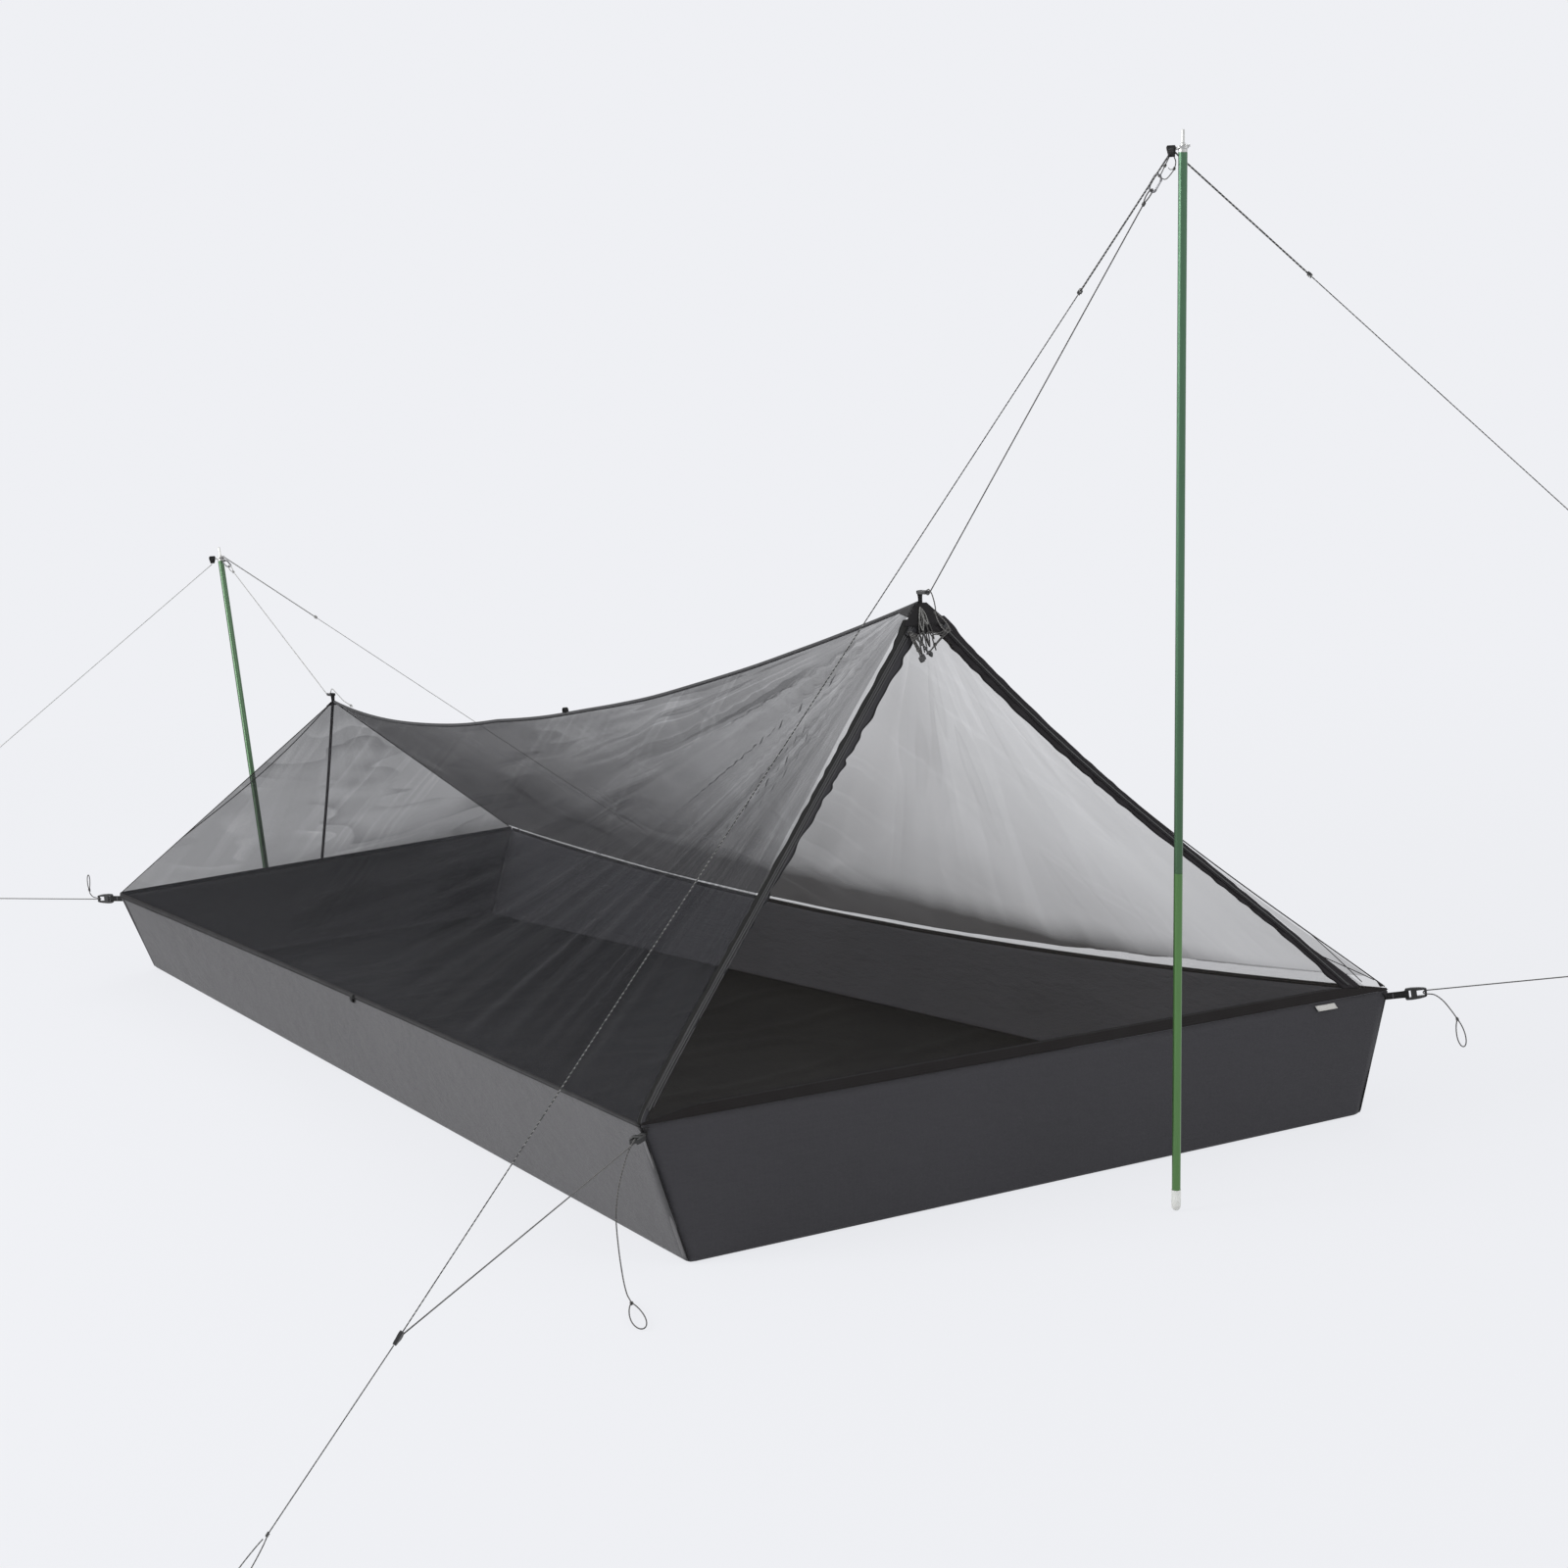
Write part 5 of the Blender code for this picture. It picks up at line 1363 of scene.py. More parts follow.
frontFoot = vec(1.2425, 0.0496, 0.005)
frontTip = vec(1.3379, 0.0496, 1.1894)
rearFoot = vec(-1.2835, 0.0, 0.005)
rearTip = vec(-1.3895, 0.0, 0.62)
ringMajor = 0.0066
ringWire = 0.0019
capRadius = 0.0049
ringLift = cadGap + 0.0044 + math.sqrt((ringWire + cadGap) ** 2 - (ringMajor - capRadius) ** 2) + 0.0001
frontTurn = poleMatrix(frontFoot, frontTip)
rearTurn = poleMatrix(rearFoot, rearTip)
frontHigh = (frontTip - frontFoot).length + ringLift
rearHigh = (rearTip - rearFoot).length + ringLift
frontRing = frontTurn @ vec(0, 0, frontHigh)
rearRing = rearTurn @ vec(0, 0, rearHigh)
tabHalf = 0.0055
tabHeight = 0.0125
tabThick = 0.0016
frontAway = vec(-0.917, -0.399, 0.0)
rearAway = vec(-0.08, -0.997, 0.0)
tabDistance = ringMajor + ringWire + cadGap + 0.0002 + tabHalf
frontTab = frontRing + frontAway * tabDistance + vec(0, 0, -0.0045)
rearTab = rearRing + rearAway * tabDistance + vec(0, 0, -0.003)
hookHalf = 0.011
hookRod = 0.0013


def hookFrame(anchor, direction, planeNormal, reach):
    along = direction.normalized()
    normal = (planeNormal - along * along.dot(planeNormal)).normalized()
    return frameAt(anchor + along * (reach + hookHalf), along, normal)


headBar = headPlace @ vec(barMiddle * peakK, 0.0, 0.0)
footBar = footPlace @ vec(barMiddle * peakK, 0.0, 0.0)
frontLoopRoot = frontTab + frontAway * 0.003 + vec(0, 0, -tabHeight / 2 - 0.001)
frontHook = hookFrame(frontLoopRoot, headBar - frontLoopRoot, vec(-0.399, 0.917, 0.0), 0.024)
rearRingSide = rearTurn @ vec(ringMajor, 0, rearHigh)
rearChain = (footBar - rearRingSide).normalized()
rearLoopRoot = rearRingSide + rearChain * (ringWire + cadGap)
rearHook = hookFrame(rearLoopRoot, rearChain, vec(0.403, 0.0, 0.915), 0.011)


# A tail that ends in a knot and a loop: the loop's knot, tip, side and width
def loopedTail(tail, knot, tip, side, width):
    way = (tip - knot).normalized()
    points = smoothLine(tail + [knot - way * 0.002], 6) + loopEnd(knot, tip, side, width)
    return points, (knot - way * 0.001, way, cordRadius, 2.5)


def addChainLine(name, turn, place, last, material, finishTail):
    tip = turn @ vec(hookHalf - hookRod - cadGap - cordRadius - 0.0002, 0.0, 0.0)
    knot = turn @ vec(hookHalf + 0.017, 0.0, 0.0)
    local = place.inverted().to_3x3() @ (knot - place @ vec(barMiddle * peakK, 0.0, 0.0))
    turns = wrapTurns(place, peakK, math.degrees(math.atan2(local.z, local.x)), last, 0.0013)
    back = loopEnd(knot, tip, turn.col[2].xyz, 0.0052, 0.6)
    toward = (turns[0] - knot).normalized()
    points = back[::-1] + straight(knot + toward * 0.003, turns[0] - toward * 0.004, 24) + turns
    tail, tailKnot = finishTail
    points = thinOut(points + tail, 0.0006)
    knots = [(knot + toward * 0.0016, toward, cordRadius, 2.5), tailKnot]
    addCord(name, points, [cordRadius] * len(points), material, knots)


def addRidgeLines():
    tail = [
        vec(0.87, -0.0022, 0.6978),
        vec(0.8765, -0.0026, 0.693),
        vec(0.8815, -0.003, 0.6845),
        vec(0.8838, -0.003, 0.676),
    ]
    knot = vec(0.885, -0.003, 0.67)
    looped = loopedTail(tail, knot, vec(0.911, -0.003, 0.649), (0, 1, 0.4), 0.0048)
    addChainLine("front_line", frontHook, headPlace, -270, darkCord, looped)
    tail = [
        vec(-0.9485, -0.0022, 0.43),
        vec(-0.944, -0.003, 0.4325),
        vec(-0.937, -0.004, 0.4325),
        vec(-0.925, -0.0058, 0.43),
        vec(-0.905, -0.0085, 0.4255),
        vec(-0.88, -0.0115, 0.4195),
        vec(-0.85, -0.0135, 0.415),
    ]
    way = (tail[-1] - tail[-2]).normalized()
    points = smoothLine(tail + [tail[-1] + way * 0.011], 6)
    plain = (points, (tail[-1] + way * 0.0028, way, cordRadius, 2.0))
    addChainLine("rear_line", rearHook, footPlace, -180, rearCord, plain)


frontSide = vec(-frontAway.y, frontAway.x, 0.0)
tabFace = tabThick / 2 + cadGap
nearStart = frontTab + frontAway * 0.0018 + vec(0, 0, -0.004) + frontSide * (tabFace + 0.0008)
toGuy = (nearStart - junction).normalized()
toCorner = (cornerFrames["near_head"] @ vec(barMiddle, 0.0, 0.0) - junction).normalized()
toStake = (nearStake - junction).normalized()
platePlace = frameAt(junction, toStake, toGuy.cross(toCorner).normalized())


def plateEdge(direction):
    local = platePlace.inverted().to_3x3() @ direction
    return 0.0064 + 0.0014 * math.cos(3 * math.atan2(local.y, local.x)) + cadGap + 0.0003


# A guy starts thick and goes on thin past a knot, and ends in a loop if it has a tip
def addGuy(name, start, finish, thickRun, last, material, tip=None):
    way = (finish - start).normalized()
    knot = start + way * thickRun
    thick = straight(start, knot - way * 0.0012, 16)
    thin = straight(knot + way * 0.0012, finish - way * last, 40)
    knots = [(knot, way, guyThick * 0.95, 2.5)]
    if tip:
        thin = thin + loopEnd(finish, tip, (0.6, 0.0, 0.8), 0.0075)
        knots.append((finish - way * 0.001, way, guyThin, 3.0))
    radii = [guyThick] * len(thick) + [guyThin] * len(thin)
    addCord(name, thick + thin, radii, material, knots)


def addThinGuy(name, start, knot, gap, count, tip, side, width, material):
    way = (knot - start).normalized()
    points = straight(start, knot - way * gap, count) + loopEnd(knot, tip, side, width)
    addCord(name, points, [guyThin] * len(points), material, [(knot - way * 0.001, way, guyThin, 3.0)])


def addGuys():
    addGuy("near_front_guy", nearStart, junction, 0.213, plateEdge(toGuy), thickCord)
    start = frontTab - frontAway * 0.001 + vec(0, 0, 0.0005) - frontSide * (tabFace + 0.0011)
    leave = vec(1.4358, 0.5206, 0.7476)
    way = (leave - start).normalized()
    addGuy("far_front_guy", start, leave + way * 0.012, 0.21, 0.0045, thickCord, leave + way * 0.075)
    start = junction + toStake * plateEdge(toStake)
    knot = junction + toStake * 0.208
    side = (0.9, 0.25, 0.0)
    addThinGuy("near_front_stake_line", start, knot, 0.004, 14, nearStake, side, 0.0095, thinCord)
    start = rearTab + rearAway * 0.0012 + vec(0, 0, -tabHeight / 2 - 0.0014)
    leave = vec(-1.4614, -0.4347, 0.3122)
    way = (leave - start).normalized()
    knot = leave + way * 0.012
    tip = leave + way * 0.074
    addThinGuy("near_rear_guy", start, knot, 0.0045, 26, tip, (0.6, 0.0, 0.8), 0.0075, rearCord)
    stake = vec(-1.528, 0.873, 0.0016)
    ringSide = rearRing + vec(0.0, ringMajor, 0.0)
    way = (stake - ringSide).normalized()
    start = ringSide + way * (ringWire + cadGap + 0.0001)
    addGuy("far_rear_guy", start, stake - way * 0.09, 0.213, 0.0045, rearCord, stake)


def addCornerCord(key, first, mainY, looped, knots):
    turns = wrapTurns(cornerFrames[key], 1.0, 0.0, -270, mainY, 20)
    tail, tailKnot = looped
    points = first[:-1] + straight(first[-1], turns[0], 20) + turns[1:] + tail
    points = thinOut(points, 0.0006)
    radii = [cordRadius] * len(points)
    addCord(key + "_cord", points, radii, darkCord, knots + [tailKnot])


# The run that leaves the picture goes on a little, to a knot and a loop
def beyondView(place, leave):
    front = place @ vec(barMiddle, 0.0016, -(wrapRadius + wrapSlack + cordRadius))
    out = (leave - front).normalized()
    knot = leave + out * 0.012
    points = loopEnd(knot, leave + out * 0.072, (0, 0, 1), 0.0075)
    return points[::-1] + [knot - out * 0.0045], [(knot - out * 0.001, -out, cordRadius, 2.5)]


def addCornerCords():
    place = cornerFrames["near_head"]
    way = place @ vec(barMiddle, -0.0014, -(wrapRadius + wrapSlack + cordRadius)) - junction
    start = junction + way.normalized() * plateEdge(way.normalized())
    tail = [
        place @ vec(0.015, 0.0016, 0.003),
        vec(1.0945, -0.57, 0.156),
        vec(1.0965, -0.579, 0.14),
        vec(1.0955, -0.587, 0.115),
        vec(1.0945, -0.5915, 0.085),
        vec(1.0985, -0.593, 0.05),
        vec(1.107, -0.5945, 0.02),
        vec(1.118, -0.597, 0.006),
        vec(1.13, -0.6, 0.0024),
    ]
    knot = vec(1.145, -0.6055, 0.0024)
    looped = loopedTail(tail, knot, vec(1.23, -0.639, 0.0012), (0.4, 0.9, 0.0), 0.0095)
    addCornerCord("near_head", [start], -0.0016, looped, [])
    place = cornerFrames["far_head"]
    tail = [
        place @ vec(0.015, -0.002, 0.0032),
        vec(1.093, 0.569, 0.1452),
        vec(1.103, 0.5735, 0.1385),
        vec(1.114, 0.5765, 0.1275),
    ]
    first, knots = beyondView(place, cornerPlan["far_head"][3])
    knot = vec(1.1225, 0.5785, 0.1165)
    looped = loopedTail(tail, knot, vec(1.131, 0.58, 0.084), (0.7, 0.7, 0.2), 0.0062)
    addCornerCord("far_head", first, 0.0016, looped, knots)
    place = cornerFrames["near_foot"]
    spots = ((0.015, -0.002, 0.0032), (0.02, -0.004, 0.0045), (0.024, -0.009, 0.005))
    tail = [place @ Vector(spot) for spot in spots]
    first, knots = beyondView(place, cornerPlan["near_foot"][3])
    knot = place @ vec(0.025, -0.016, 0.0052)
    looped = loopedTail(tail, knot, place @ vec(0.024, -0.04, 0.006), (0.7, -0.7, 0.0), 0.0055)
    addCornerCord("near_foot", first, 0.0016, looped, knots)


addRidgeLines()
addGuys()
addCornerCords()
print("cords laid")

# Webbing that folds round the bars of each tensioner
webbingPlan = {
    "ply": 0.0009,
    "thick": 0.0008,
    "half": 0.0042,
    "slack": 0.00035,
}


def barPlaces(k):
    slack = webbingPlan["slack"]
    return 0.0013 * k + slack, -0.0104 * k + slack, -0.014 * k - slack


def addStrap(name, place, path, k, node):
    line = [place @ p for p in smoothLine([(x, 0.0, z) for x, z in path], 4)]
    addRibbon(name, line, place.col[1].xyz, 2 * webbingPlan["half"] * k, webbingPlan["thick"], node)


def addStraps():
    h = webbingPlan["ply"] / 2
    barZ, front, rear = barPlaces(1.0)
    for key, place in cornerFrames.items():
        reach = cornerPlan[key][5]
        upper = [
            (-reach - 0.0035, h + 0.0001),
            (-reach * 0.8 + rear * 0.2, h + 0.0002),
            (rear - 0.0045, h + 0.0004),
            (rear - 0.001, barZ * 0.75 + h),
            (rear + 0.001, barZ + h),
            (front - 0.0006, barZ + h),
            (front + h, barZ - 0.0004),
        ]
        path = upper + [(front + h, 0.0)] + [(x, -z) for x, z in reversed(upper)]
        addStrap(key + "_strap", place, path, 1.0, key + "_webbing")
        # Bar tack across the strap near its root
        tack = [place @ vec(0.006 - reach, 0.0034 * k, 2 * h + 0.0002) for k in crosswise(4)]
        section = ovalSection(0.0009, 0.0003, 8)
        addSweep(key + "_bar_tack", tack, section, place.col[2].xyz, zipTape)
    barZ, front, rear = barPlaces(peakK)
    middle = (front + rear) / 2
    for name, place, low in (("head", headPlace, 0.018), ("foot", footPlace, 0.0112)):
        path = [
            (middle + h, -barZ - low),
            (middle + h, -barZ - 0.006),
            (front + h, -barZ + 0.0004),
            (front + h, barZ - 0.0004),
            (front - 0.0004, barZ + h),
            (rear + 0.0004, barZ + h),
            (rear - h, barZ - 0.0004),
            (rear - h, -barZ + 0.0004),
            (middle - h, -barZ - 0.006),
            (middle - h, -barZ - low),
        ]
        addStrap(name + "_peak_strap", place, path, peakK, name + "_webbing")


# Dark reinforcements where the peak straps are sewn on
def addPeakPatches():
    def peakSpot(share, k):
        t = between(door.peakT - 0.04, door.peakT - 0.001, share)
        inset = -0.001 + 0.018 * ease(door.peakT - 0.027, door.peakT - 0.031, t)
        left = stripPoint(-1, inset, t, 0.0)
        right = stripPoint(1, inset, t, 0.0)
        bulge = 0.0006 * arch(k) + 0.0005 * rough(k * 6.0, t * 90.0, 1.0)
        return left.lerp(right, k) + door.normal * (0.0026 + bulge), ((right - left).length * k, t)

    grid = gridOf(shares(18), shares(16), peakSpot)
    addCloth("head_peak_patch", grid, patchCloth, 0.0008, door.normal)
    # The same patch turned back over the two covers
    for side, name in ((-1, "near"), (1, "far")):

        def wrapSpot(i, k):
            column = coverRows[side][-1 - i]
            drop = (0.023 - 0.0045 * i) * k
            way = (column[0] - column[-1]).normalized()
            return column[-1] + way * drop + vec(0, side * 0.7, 0.7) * 0.0009, (i * 0.009, drop)

        grid = gridOf(range(5), shares(4), wrapSpot)
        addCloth(name + "_peak_wrap", grid, patchCloth, 0.0006, (0, side, 1))

    def footSpot(share, k):
        t = footPlane.peakT - 0.007 + 0.0068 * share
        reach = between(footPlane.half, 0.003, t / footPlane.peakT) * k
        return footPlane.at(footPlane.peakS + reach, t, 0.0016), (reach, t)

    grid = gridOf(shares(6), crosswise(8), footSpot)
    addCloth("foot_peak_patch", grid, patchCloth, 0.0007, (-1, 0, 0))


# Each corner of the tub has a seam, piping on the long side and a small triangle on each face
def addCorner(tag, end, side):
    line = []
    for share in shares(40):
        v = 0.02 + 0.965 * share
        wave = 0.001 * rough(v * 3.0, end * 2.0, side)
        line.append(tubPoint("side", side, end * half, v) + vec(end * 0.0002, wave, 0.0))
    addSweep("corner_seam_" + tag, line, ovalSection(0.0011, 0.0009, 8), (end, 0, 0), bindingTape)

    def pipingSpot(share, k):
        v = 0.03 + 0.94 * share
        inset = 0.0012 + 0.0076 * k
        return tubPoint("side", side, end * (half - inset), v, 0.0009), (v * 0.16, inset)

    grid = gridOf(shares(30), shares(4), pipingSpot)
    addCloth("corner_piping_" + tag, grid, pipingCloth, 0.0005, (0, side, 0))
    for kind in ("side", "end"):

        def patchSpot(i, k):
            out = 0.001 + 0.0085 * i / 6
            drop = 0.055 * (1 - i / 6.4) * k
            v = 0.99 - drop
            if kind == "side":
                return tubPoint("side", side, end * (half - out), v, 0.0016), (out, drop * 0.16)
            along = sidePoint(side, end * half, v).y - side * out
            return tubPoint("end", end, along, v, 0.0016), (out, drop * 0.16)

        outward = (0, side, 0) if kind == "side" else (end, 0, 0)
        grid = gridOf(range(7), shares(4), patchSpot)
        addCloth("corner_patch_" + tag + "_" + kind, grid, patchCloth, 0.0007, outward)


# Small sewn-on pieces: a blank label at the head, tabs on the ridge and the near rim
sewnPlan = {
    "labelWide": 0.03,
    "labelHigh": 0.0072,
    "labelPlace": (0.412, 0.1428),
    "labelGap": 0.003,
    "ridgeTabX": -0.114,
    "ridgeTabWide": 0.0062,
    "rimTabX": 0.018,
    "rimTabWide": 0.0085,
    "tabThick": 0.001,
}


def addSewnPieces():
    wide = sewnPlan["labelWide"]
    high = sewnPlan["labelHigh"]
    left, low = sewnPlan["labelPlace"]

    def labelSpot(k, v):
        curl = 0.001 * (1 - v) ** 2 + 0.0004 * arch(k)
        y = left + wide * k + 0.0045 * (1 - v)
        z = low - 0.0006 * k + high * v
        return vec(half + sewnPlan["labelGap"] + curl, y, z), (wide * k, high * v)

    grid = gridOf(shares(12), shares(6), labelSpot)
    addCloth("blank_label", grid, labelCloth, 0.0006, (1, 0, 0))
    spot = vec(sewnPlan["ridgeTabX"], 0.0, ridgeZ(sewnPlan["ridgeTabX"]) + 0.0024)
    right = [(0.003, 0.0062), (0.0042, 0.003), (0.0035, 0.0)]
    loop = [(-x, z) for x, z in reversed(right)] + [(0.0, 0.0072)] + right
    line = smoothLine([spot + vec(x, 0.0, z) for x, z in loop], 5)
    addRibbon("ridge_tab", line, (0, 1, 0), sewnPlan["ridgeTabWide"], sewnPlan["tabThick"])
    at = rimCentre(-1, sewnPlan["rimTabX"], 0.0)
    down = (sidePoint(-1, sewnPlan["rimTabX"], 0.9) - at).normalized()
    out = vec(0, -1, 0.1)
    loop = [(0.0016, -0.0022), (0.0042, 0.0), (0.0056, 0.004)]
    loop = loop + [(0.005, 0.0078), (0.0034, 0.0082), (0.0026, 0.004)]
    line = smoothLine([at + out * a + down * b for a, b in loop], 5)
    addRibbon("near_rim_tab", line, (1, 0, 0), sewnPlan["rimTabWide"], sewnPlan["tabThick"])


# At each pole top a webbing tab and a split ring that hangs lower toward the tab
def addTab(name, centre, away):
    side = vec(-away.y, away.x, 0.0)

    def tabSpot(v, k):
        z = tabHeight * (v - 0.5)
        wide = (between(0.0037, tabHalf, ease(0.0, 0.75, v)) - 0.0012 * ease(0.86, 1.0, v)) * k
        wave = 0.0003 * math.sin(3 * k + 5 * v)
        return centre + away * wide + vec(0, 0, z) + side * wave, (wide, z)

    grid = gridOf(shares(14), crosswise(8), tabSpot)
    addCloth(name + "_tab_webbing", grid, strapWebbing, tabThick, side, name + "_pole_tab", 0.0)
    middle = centre + vec(0, 0, tabHeight * 0.18) + side * (tabThick / 2)
    line = [middle + away * (0.003 * k) for k in crosswise(8)]
    addSweep(name + "_tab_stitch", line, ovalSection(0.0004, 0.0003, 6), side, zipTape)


ringPlan = {
    "radius": 0.0071,
    "wire": 0.00085,
    "turns": 2.04,
    "rise": 0.0014,
    "steps": 96,
}


def addSplitRing(name, turn, high, away, lower):
    radius = ringPlan["radius"]
    stations = []
    for f in shares(ringPlan["steps"]):
        angle = fullTurn * ringPlan["turns"] * f
        z = high + ringPlan["rise"] * (1 - 2 * f)
        spot = turn @ vec(math.cos(angle) * radius, math.sin(angle) * radius, z)
        toTab = (spot - turn @ vec(0, 0, high)).dot(away) / radius
        stations.append((spot - vec(0, 0, lower * max(0.0, toTab)), ringPlan["wire"]))
    addObject(name + "_split_ring", tubeParts(stations, 9), ringMetal, name + "_pole_ring")


hookCord = 0.0006


def addHookCords():
    eye = frontHook @ vec(-hookHalf, 0.0, 0.0)
    inner = frontHook.col[0].xyz
    around = frontHook.col[2].xyz
    r = hookRod + 0.0008
    right = [
        vec(1.3278, 0.045, 1.1852),
        vec(1.329, 0.0462, 1.1795),
        vec(1.3288, 0.044, 1.1722),
        vec(1.3255, 0.0405, 1.1658),
        vec(1.318, 0.0402, 1.1618),
        vec(1.3105, 0.0406, 1.163),
    ]
    turnRound = [eye - around * r * 0.7, eye + inner * r, eye + around * r * 0.7]
    left = [
        eye - inner * 0.004 + around * 0.0012,
        frontTab + frontAway * 0.0085 + vec(0, 0, -0.015),
        frontTab + frontAway * 0.003 + vec(0, 0, -0.0062),
    ]
    bends = ((0, 0, 0), (-0.003, -0.003, -0.0006), (-0.0046, -0.0044, 0.0016))
    whisker = [right[2] + Vector(p) for p in bends]
    parts = [
        evenTube(smoothLine(right + turnRound + left, 8), hookCord, 8),
        knotTurns(right[2], right[3] - right[1], hookCord, 2.0),
        knotTurns(left[1], left[2] - left[0], hookCord, 2.0),
        evenTube(smoothLine(whisker, 4), 0.0004, 6),
    ]
    addObject("front_hook_cord", joinParts(parts), darkCord, "front_hook_loop")
    reach = 0.011
    path = [
        (-hookHalf - reach, 0.001),
        (-hookHalf - reach * 0.45, r + 0.0004),
        (-hookHalf, r),
        (-hookHalf + r, 0.0),
        (-hookHalf, -r),
        (-hookHalf - reach * 0.45, -r - 0.0004),
        (-hookHalf - reach, -0.001),
    ]
    line = smoothLine([rearHook @ vec(x, 0.0, z) for x, z in path], 6)
    knot = rearHook @ vec(-hookHalf - reach * 0.72, 0.0, 0.0)
    way = rearHook.col[2].xyz.cross(vec(0, 1, 0))
    parts = [evenTube(line, hookCord, 8), knotTurns(knot, way, hookCord, 2.0)]
    addObject("rear_hook_cord", joinParts(parts), darkCord, "rear_hook_loop")


# The profile of each toggle: place along it and radius
togglePlan = {
    "block": [
        (-0.0036, 0.0012), (-0.0034, 0.003), (-0.001, 0.0033),
        (0.0012, 0.0033), (0.0034, 0.0029), (0.0037, 0.001),
    ],
    "bow": [
        (-0.0042, 0.0022), (-0.0036, 0.0028), (-0.0012, 0.0012),
        (0.0012, 0.0012), (0.0036, 0.0028), (0.0042, 0.0022),
    ],
    "diamond": [(-0.0044, 0.0007), (-0.0016, 0.0026), (0.0, 0.003), (0.0016, 0.0026), (0.0044, 0.0007)],
}
# Pull cords end at a place on the door plane with a toggle; strands go up to one and hang down again
pullPlan = {
    "near": {
        "side": -1,
        "runs": [
            (-0.03, 0.49, 0.0075, "block"),
            (-0.0215, 0.499, 0.01, "bow"),
            (-0.027, 0.4925, 0.0062, "block"),
        ],
        "strands": [(-0.0225, 0.515, 0.495), (-0.018, 0.519, 0.5), (-0.0265, 0.514, 0.493)],
    },
    "far": {
        "side": 1,
        "runs": [(-0.015, 0.496, 0.006, "diamond")],
        "strands": [(-0.006, 0.515, 0.496), (-0.013, 0.519, 0.502)],
    },
}
# Short loops sewn in at the peak, two of them pale
peakLoops = {
    "peak_cord_loops": (paleCord, [(-0.017, 0.523, 0.003), (-0.008, 0.53, 0.0026)]),
    "peak_dark_loops": (
        darkCord, [(-0.0225, 0.507, 0.003), (-0.013, 0.502, 0.0034), (-0.0045, 0.511, 0.0028)],
    ),
}
pullCord = 0.0008


def pullTube(points):
    return evenTube(smoothLine(points, 8), pullCord, 7)


def addPull(name, side, runs, strands):
    across = door.across
    up = door.up
    out = door.normal
    hinge = zipPoint(side, 0.008, door.peakT - 0.036, 0.005)
    parts = []
    toggles = []
    for s, t, n, kind in runs:
        end = door.at(s, t, n)
        mid = hinge.lerp(end, 0.5) + out * 0.003 + across * (0.0016 if s > -0.02 else -0.0016)
        start = hinge + across * 0.0008
        parts.append(pullTube([start, start - up * 0.0035 + out * 0.0016, mid, end]))
        parts.append(pullTube([end, mid - across * 0.0022, hinge - across * 0.0008 - up * 0.003, hinge]))
        parts.append(knotTurns(hinge.lerp(end, 0.72), end - hinge, pullCord, 2.0))
        way = (across * 0.3 - up).normalized()
        toggles.append(tubeParts([(end - up * 0.003 + way * a, r) for a, r in togglePlan[kind]], 12))
    parts.append(evenTube([hinge + across * (0.003 * k) for k in crosswise(4)], 0.0009, 8))
    for s, t, low in strands:
        top = door.at(s, t, 0.006)
        foot = door.at(s - 0.0015, low, 0.008)
        parts.append(pullTube([hinge, hinge.lerp(top, 0.5) - up * 0.004 + out * 0.003, top, foot]))
    body = name + "_pull"
    addObject(body + "_cords", joinParts(parts), darkCord, body, body)
    addObject(body + "_toggles", joinParts(toggles), togglePlastic, None, body)


def addPeakLoops():
    top = door.at(-0.0125, 0.552, 0.0044)
    for name, (material, loops) in peakLoops.items():
        parts = []
        for s, t, wide in loops:
            low = door.at(s, t, 0.005)
            left = low.lerp(top, 0.45) - door.across * wide
            right = low.lerp(top, 0.55) + door.across * wide
            parts.append(pullTube([top, left, low, right, top]))
        addObject(name, joinParts(parts), material)


addStraps()
addPeakPatches()
for end, side, tag in ((-1, -1, "foot_near"), (-1, 1, "foot_far"), (1, -1, "head_near"), (1, 1, "head_far")):
    addCorner(tag, end, side)
addSewnPieces()
addTab("front", frontTab, frontAway)
addTab("rear", rearTab, rearAway)
addSplitRing("front", frontTurn, frontHigh, frontAway, 0.0026)
addSplitRing("rear", rearTurn, rearHigh, rearAway, 0.0016)
addHookCords()
for name, plan in pullPlan.items():
    addPull(name, plan["side"], plan["runs"], plan["strands"])
addPeakLoops()
print("straps, patches and small pieces made")

# Finishes for the rigid CAD pieces that stay
carriedOver = {
    poleFloorReflection: ["front_pole_lower"],
    poleShadedReflection: ["front_pole_middle", "front_pole_upper"],
    rearPole: ["rear_pole_tube"],
    poleTipPlastic: ["front_pole_foot", "rear_pole_foot"],
    pinMetal: ["front_pole_pin", "rear_pole_pin"],
    hookMetal: ["front_hook", "rear_hook"],
    gateMetal: ["front_gate", "rear_gate"],
    sliderMetal: ["near_slider", "far_slider"],
    tensionerPlastic: ["head_tensioner", "foot_tensioner", "junction_tensioner"]
    + [corner + "_tensioner" for corner in cornerPlan],
}
for material, names in carriedOver.items():
    for name in names:
        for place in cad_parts[name].material_slots:
            place.material = material

# Studio: a pale floor and soft lights, each with its power, place and size
studio = {
    "floorColour": (0.86, 0.87, 0.9),
    "cameraWhite": (0.862, 0.871, 0.904),
    "shadowShare": 0.12,
    "shadowFade": (1.8, 4.2),
    "world": 0.62,
    "reach": 90.0,
    "floorHeight": -0.0015,
    "aim": (0.1, 0.0, 0.2),
    "lights": {
        "key": (235.0, (-0.9, -5.0, 1.9), 3.0),
        "fill": (45.0, (5.2, 1.4, 2.6), 2.5),
        "back": (40.0, (-3.5, 3.0, 3.0), 2.5),
    },
}


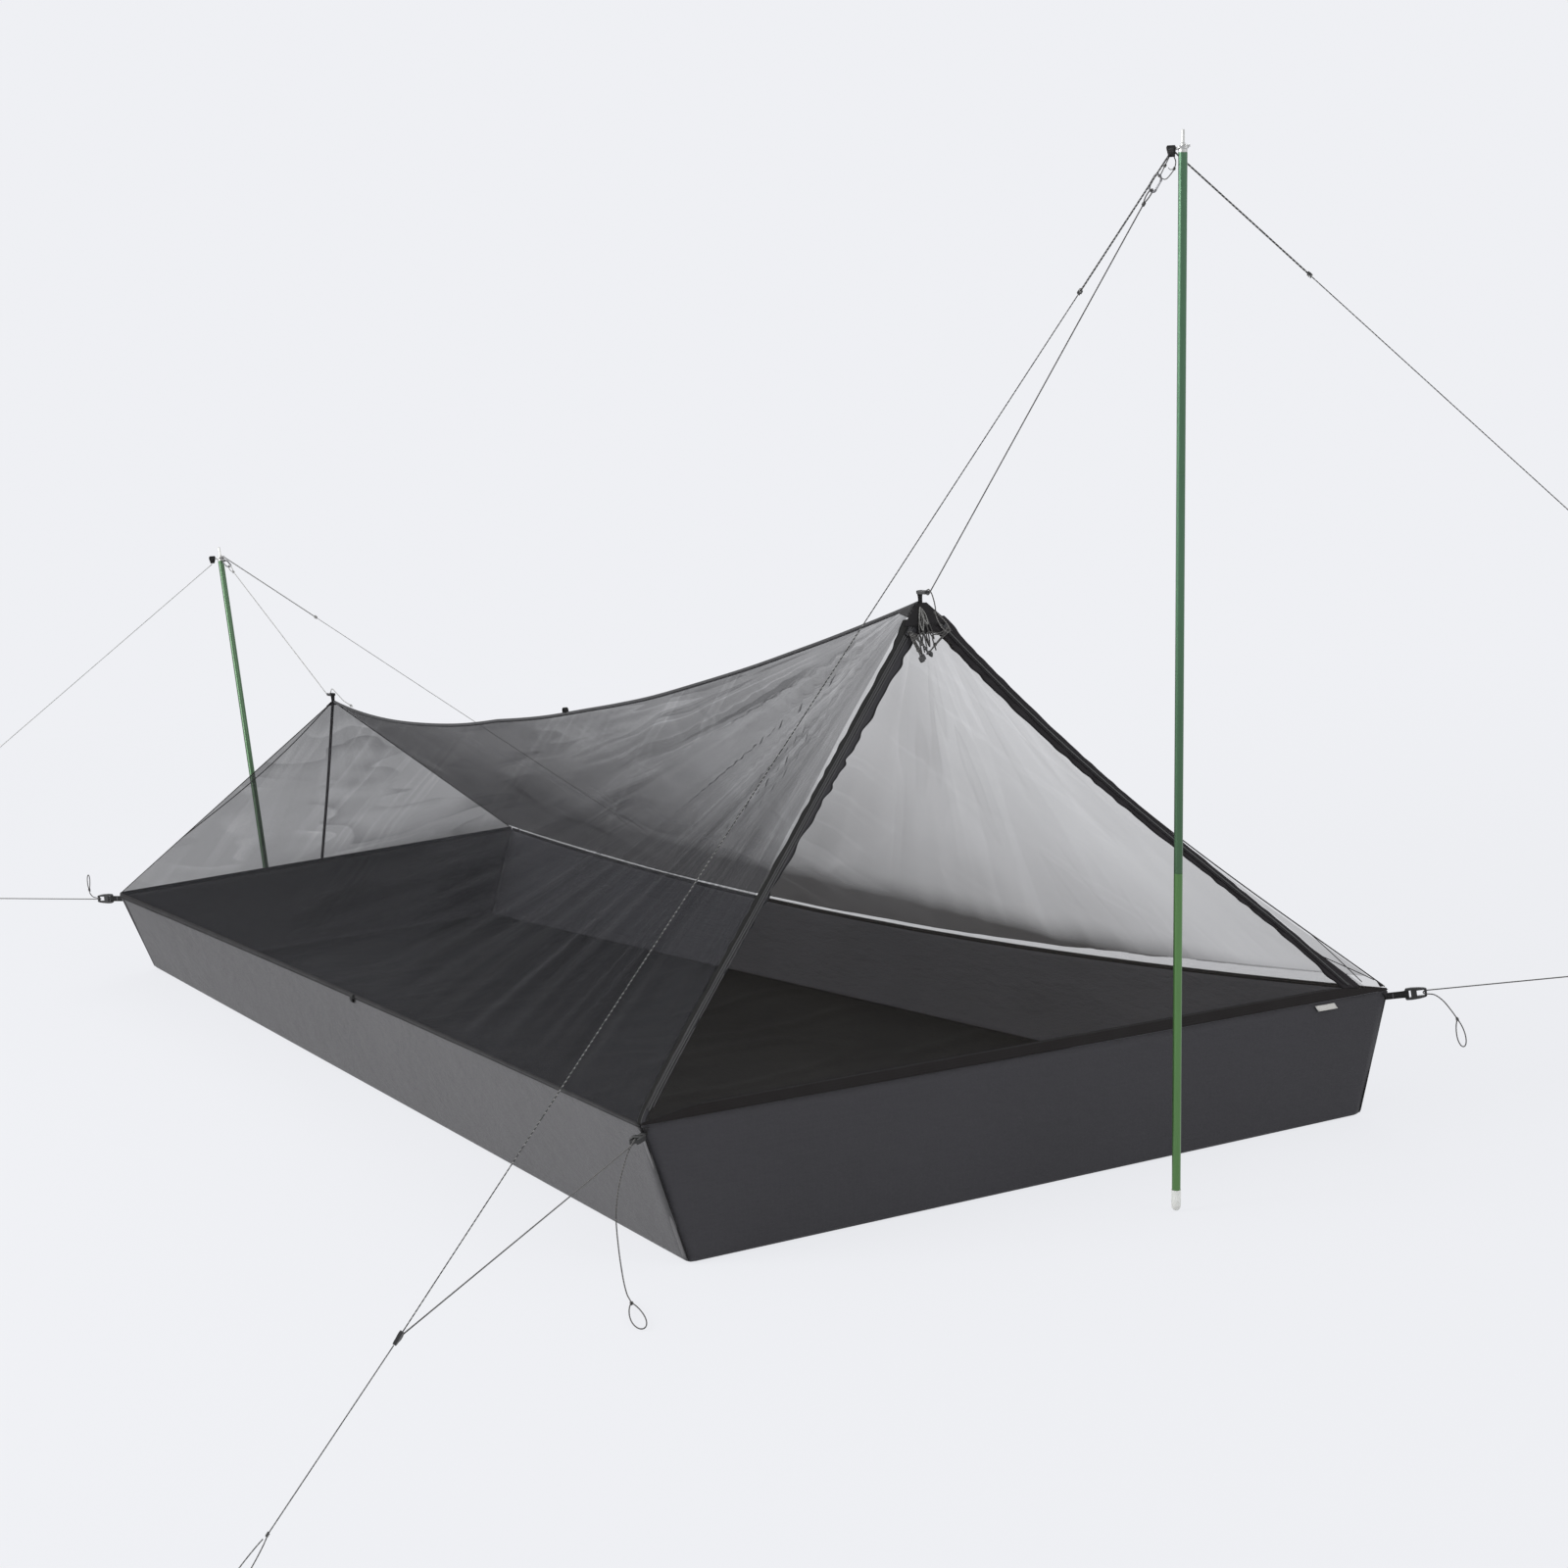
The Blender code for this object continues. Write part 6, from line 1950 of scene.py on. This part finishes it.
# 1 for rays that show the backdrop itself, 0 for those that light the object
def seenRays(tree):
    names = ("Is Camera Ray", "Is Glossy Ray", "Is Transmission Ray")
    rays = [grow("LightPath", {}, name, tree) for name in names]
    return calc("MAXIMUM", rays[0], calc("MAXIMUM", rays[1], rays[2]))


def showWhite(tree, kind, share, lit, output):
    white = grow(kind, {"Color": studio["cameraWhite"]}, tree=tree)
    feed(tree.nodes[output].inputs["Surface"], grow("MixShader", {0: share, 1: lit, 2: white}))


# The floor keeps its shadow near the bivy and melts into the backdrop further out
def addStudioFloor():
    reach = studio["reach"]
    corners = [(x * reach, y * reach, studio["floorHeight"]) for x, y in ((-1, -1), (1, -1), (1, 1), (-1, 1))]
    data = bpy.data.meshes.new("studio_floor")
    data.from_pydata(corners, [], [(0, 1, 2, 3)])
    floor = bpy.data.objects.new("studio_floor", data)
    bpy.context.scene.collection.objects.link(floor)
    f = Finish("studioFloor", studio["floorColour"], 0.9)
    f.put({"Specular IOR Level": 0.0})
    away = calc("SQRT", f.x * f.x + f.y * f.y)
    share = seenRays(f.tree) * span(away, *studio["shadowFade"], 1 - studio["shadowShare"], 1.0)
    showWhite(f.tree, "Emission", share, Wire(f.tree, f.shader.outputs[0]), "Material Output")
    data.materials.append(f.material)


def addWorld():
    world = bpy.data.worlds.new("studio_world")
    bpy.context.scene.world = world
    world.use_nodes = True
    tree = world.node_tree
    plain = tree.nodes["Background"]
    feed(plain.inputs["Color"], (1, 1, 1))
    feed(plain.inputs["Strength"], studio["world"])
    showWhite(tree, "Background", seenRays(tree), Wire(tree, plain.outputs[0]), "World Output")


def addLights():
    for name, (power, spot, wide) in studio["lights"].items():
        light = bpy.data.lights.new(name, "AREA")
        light.energy = power
        light.size = wide
        lamp = bpy.data.objects.new(name, light)
        lamp.location = spot
        aim = Vector(studio["aim"]) - Vector(spot)
        lamp.rotation_euler = aim.to_track_quat("-Z", "Y").to_euler()
        bpy.context.scene.collection.objects.link(lamp)


addStudioFloor()
addWorld()
addLights()
bpy.context.scene.view_settings.view_transform = "Standard"
print("studio lit")
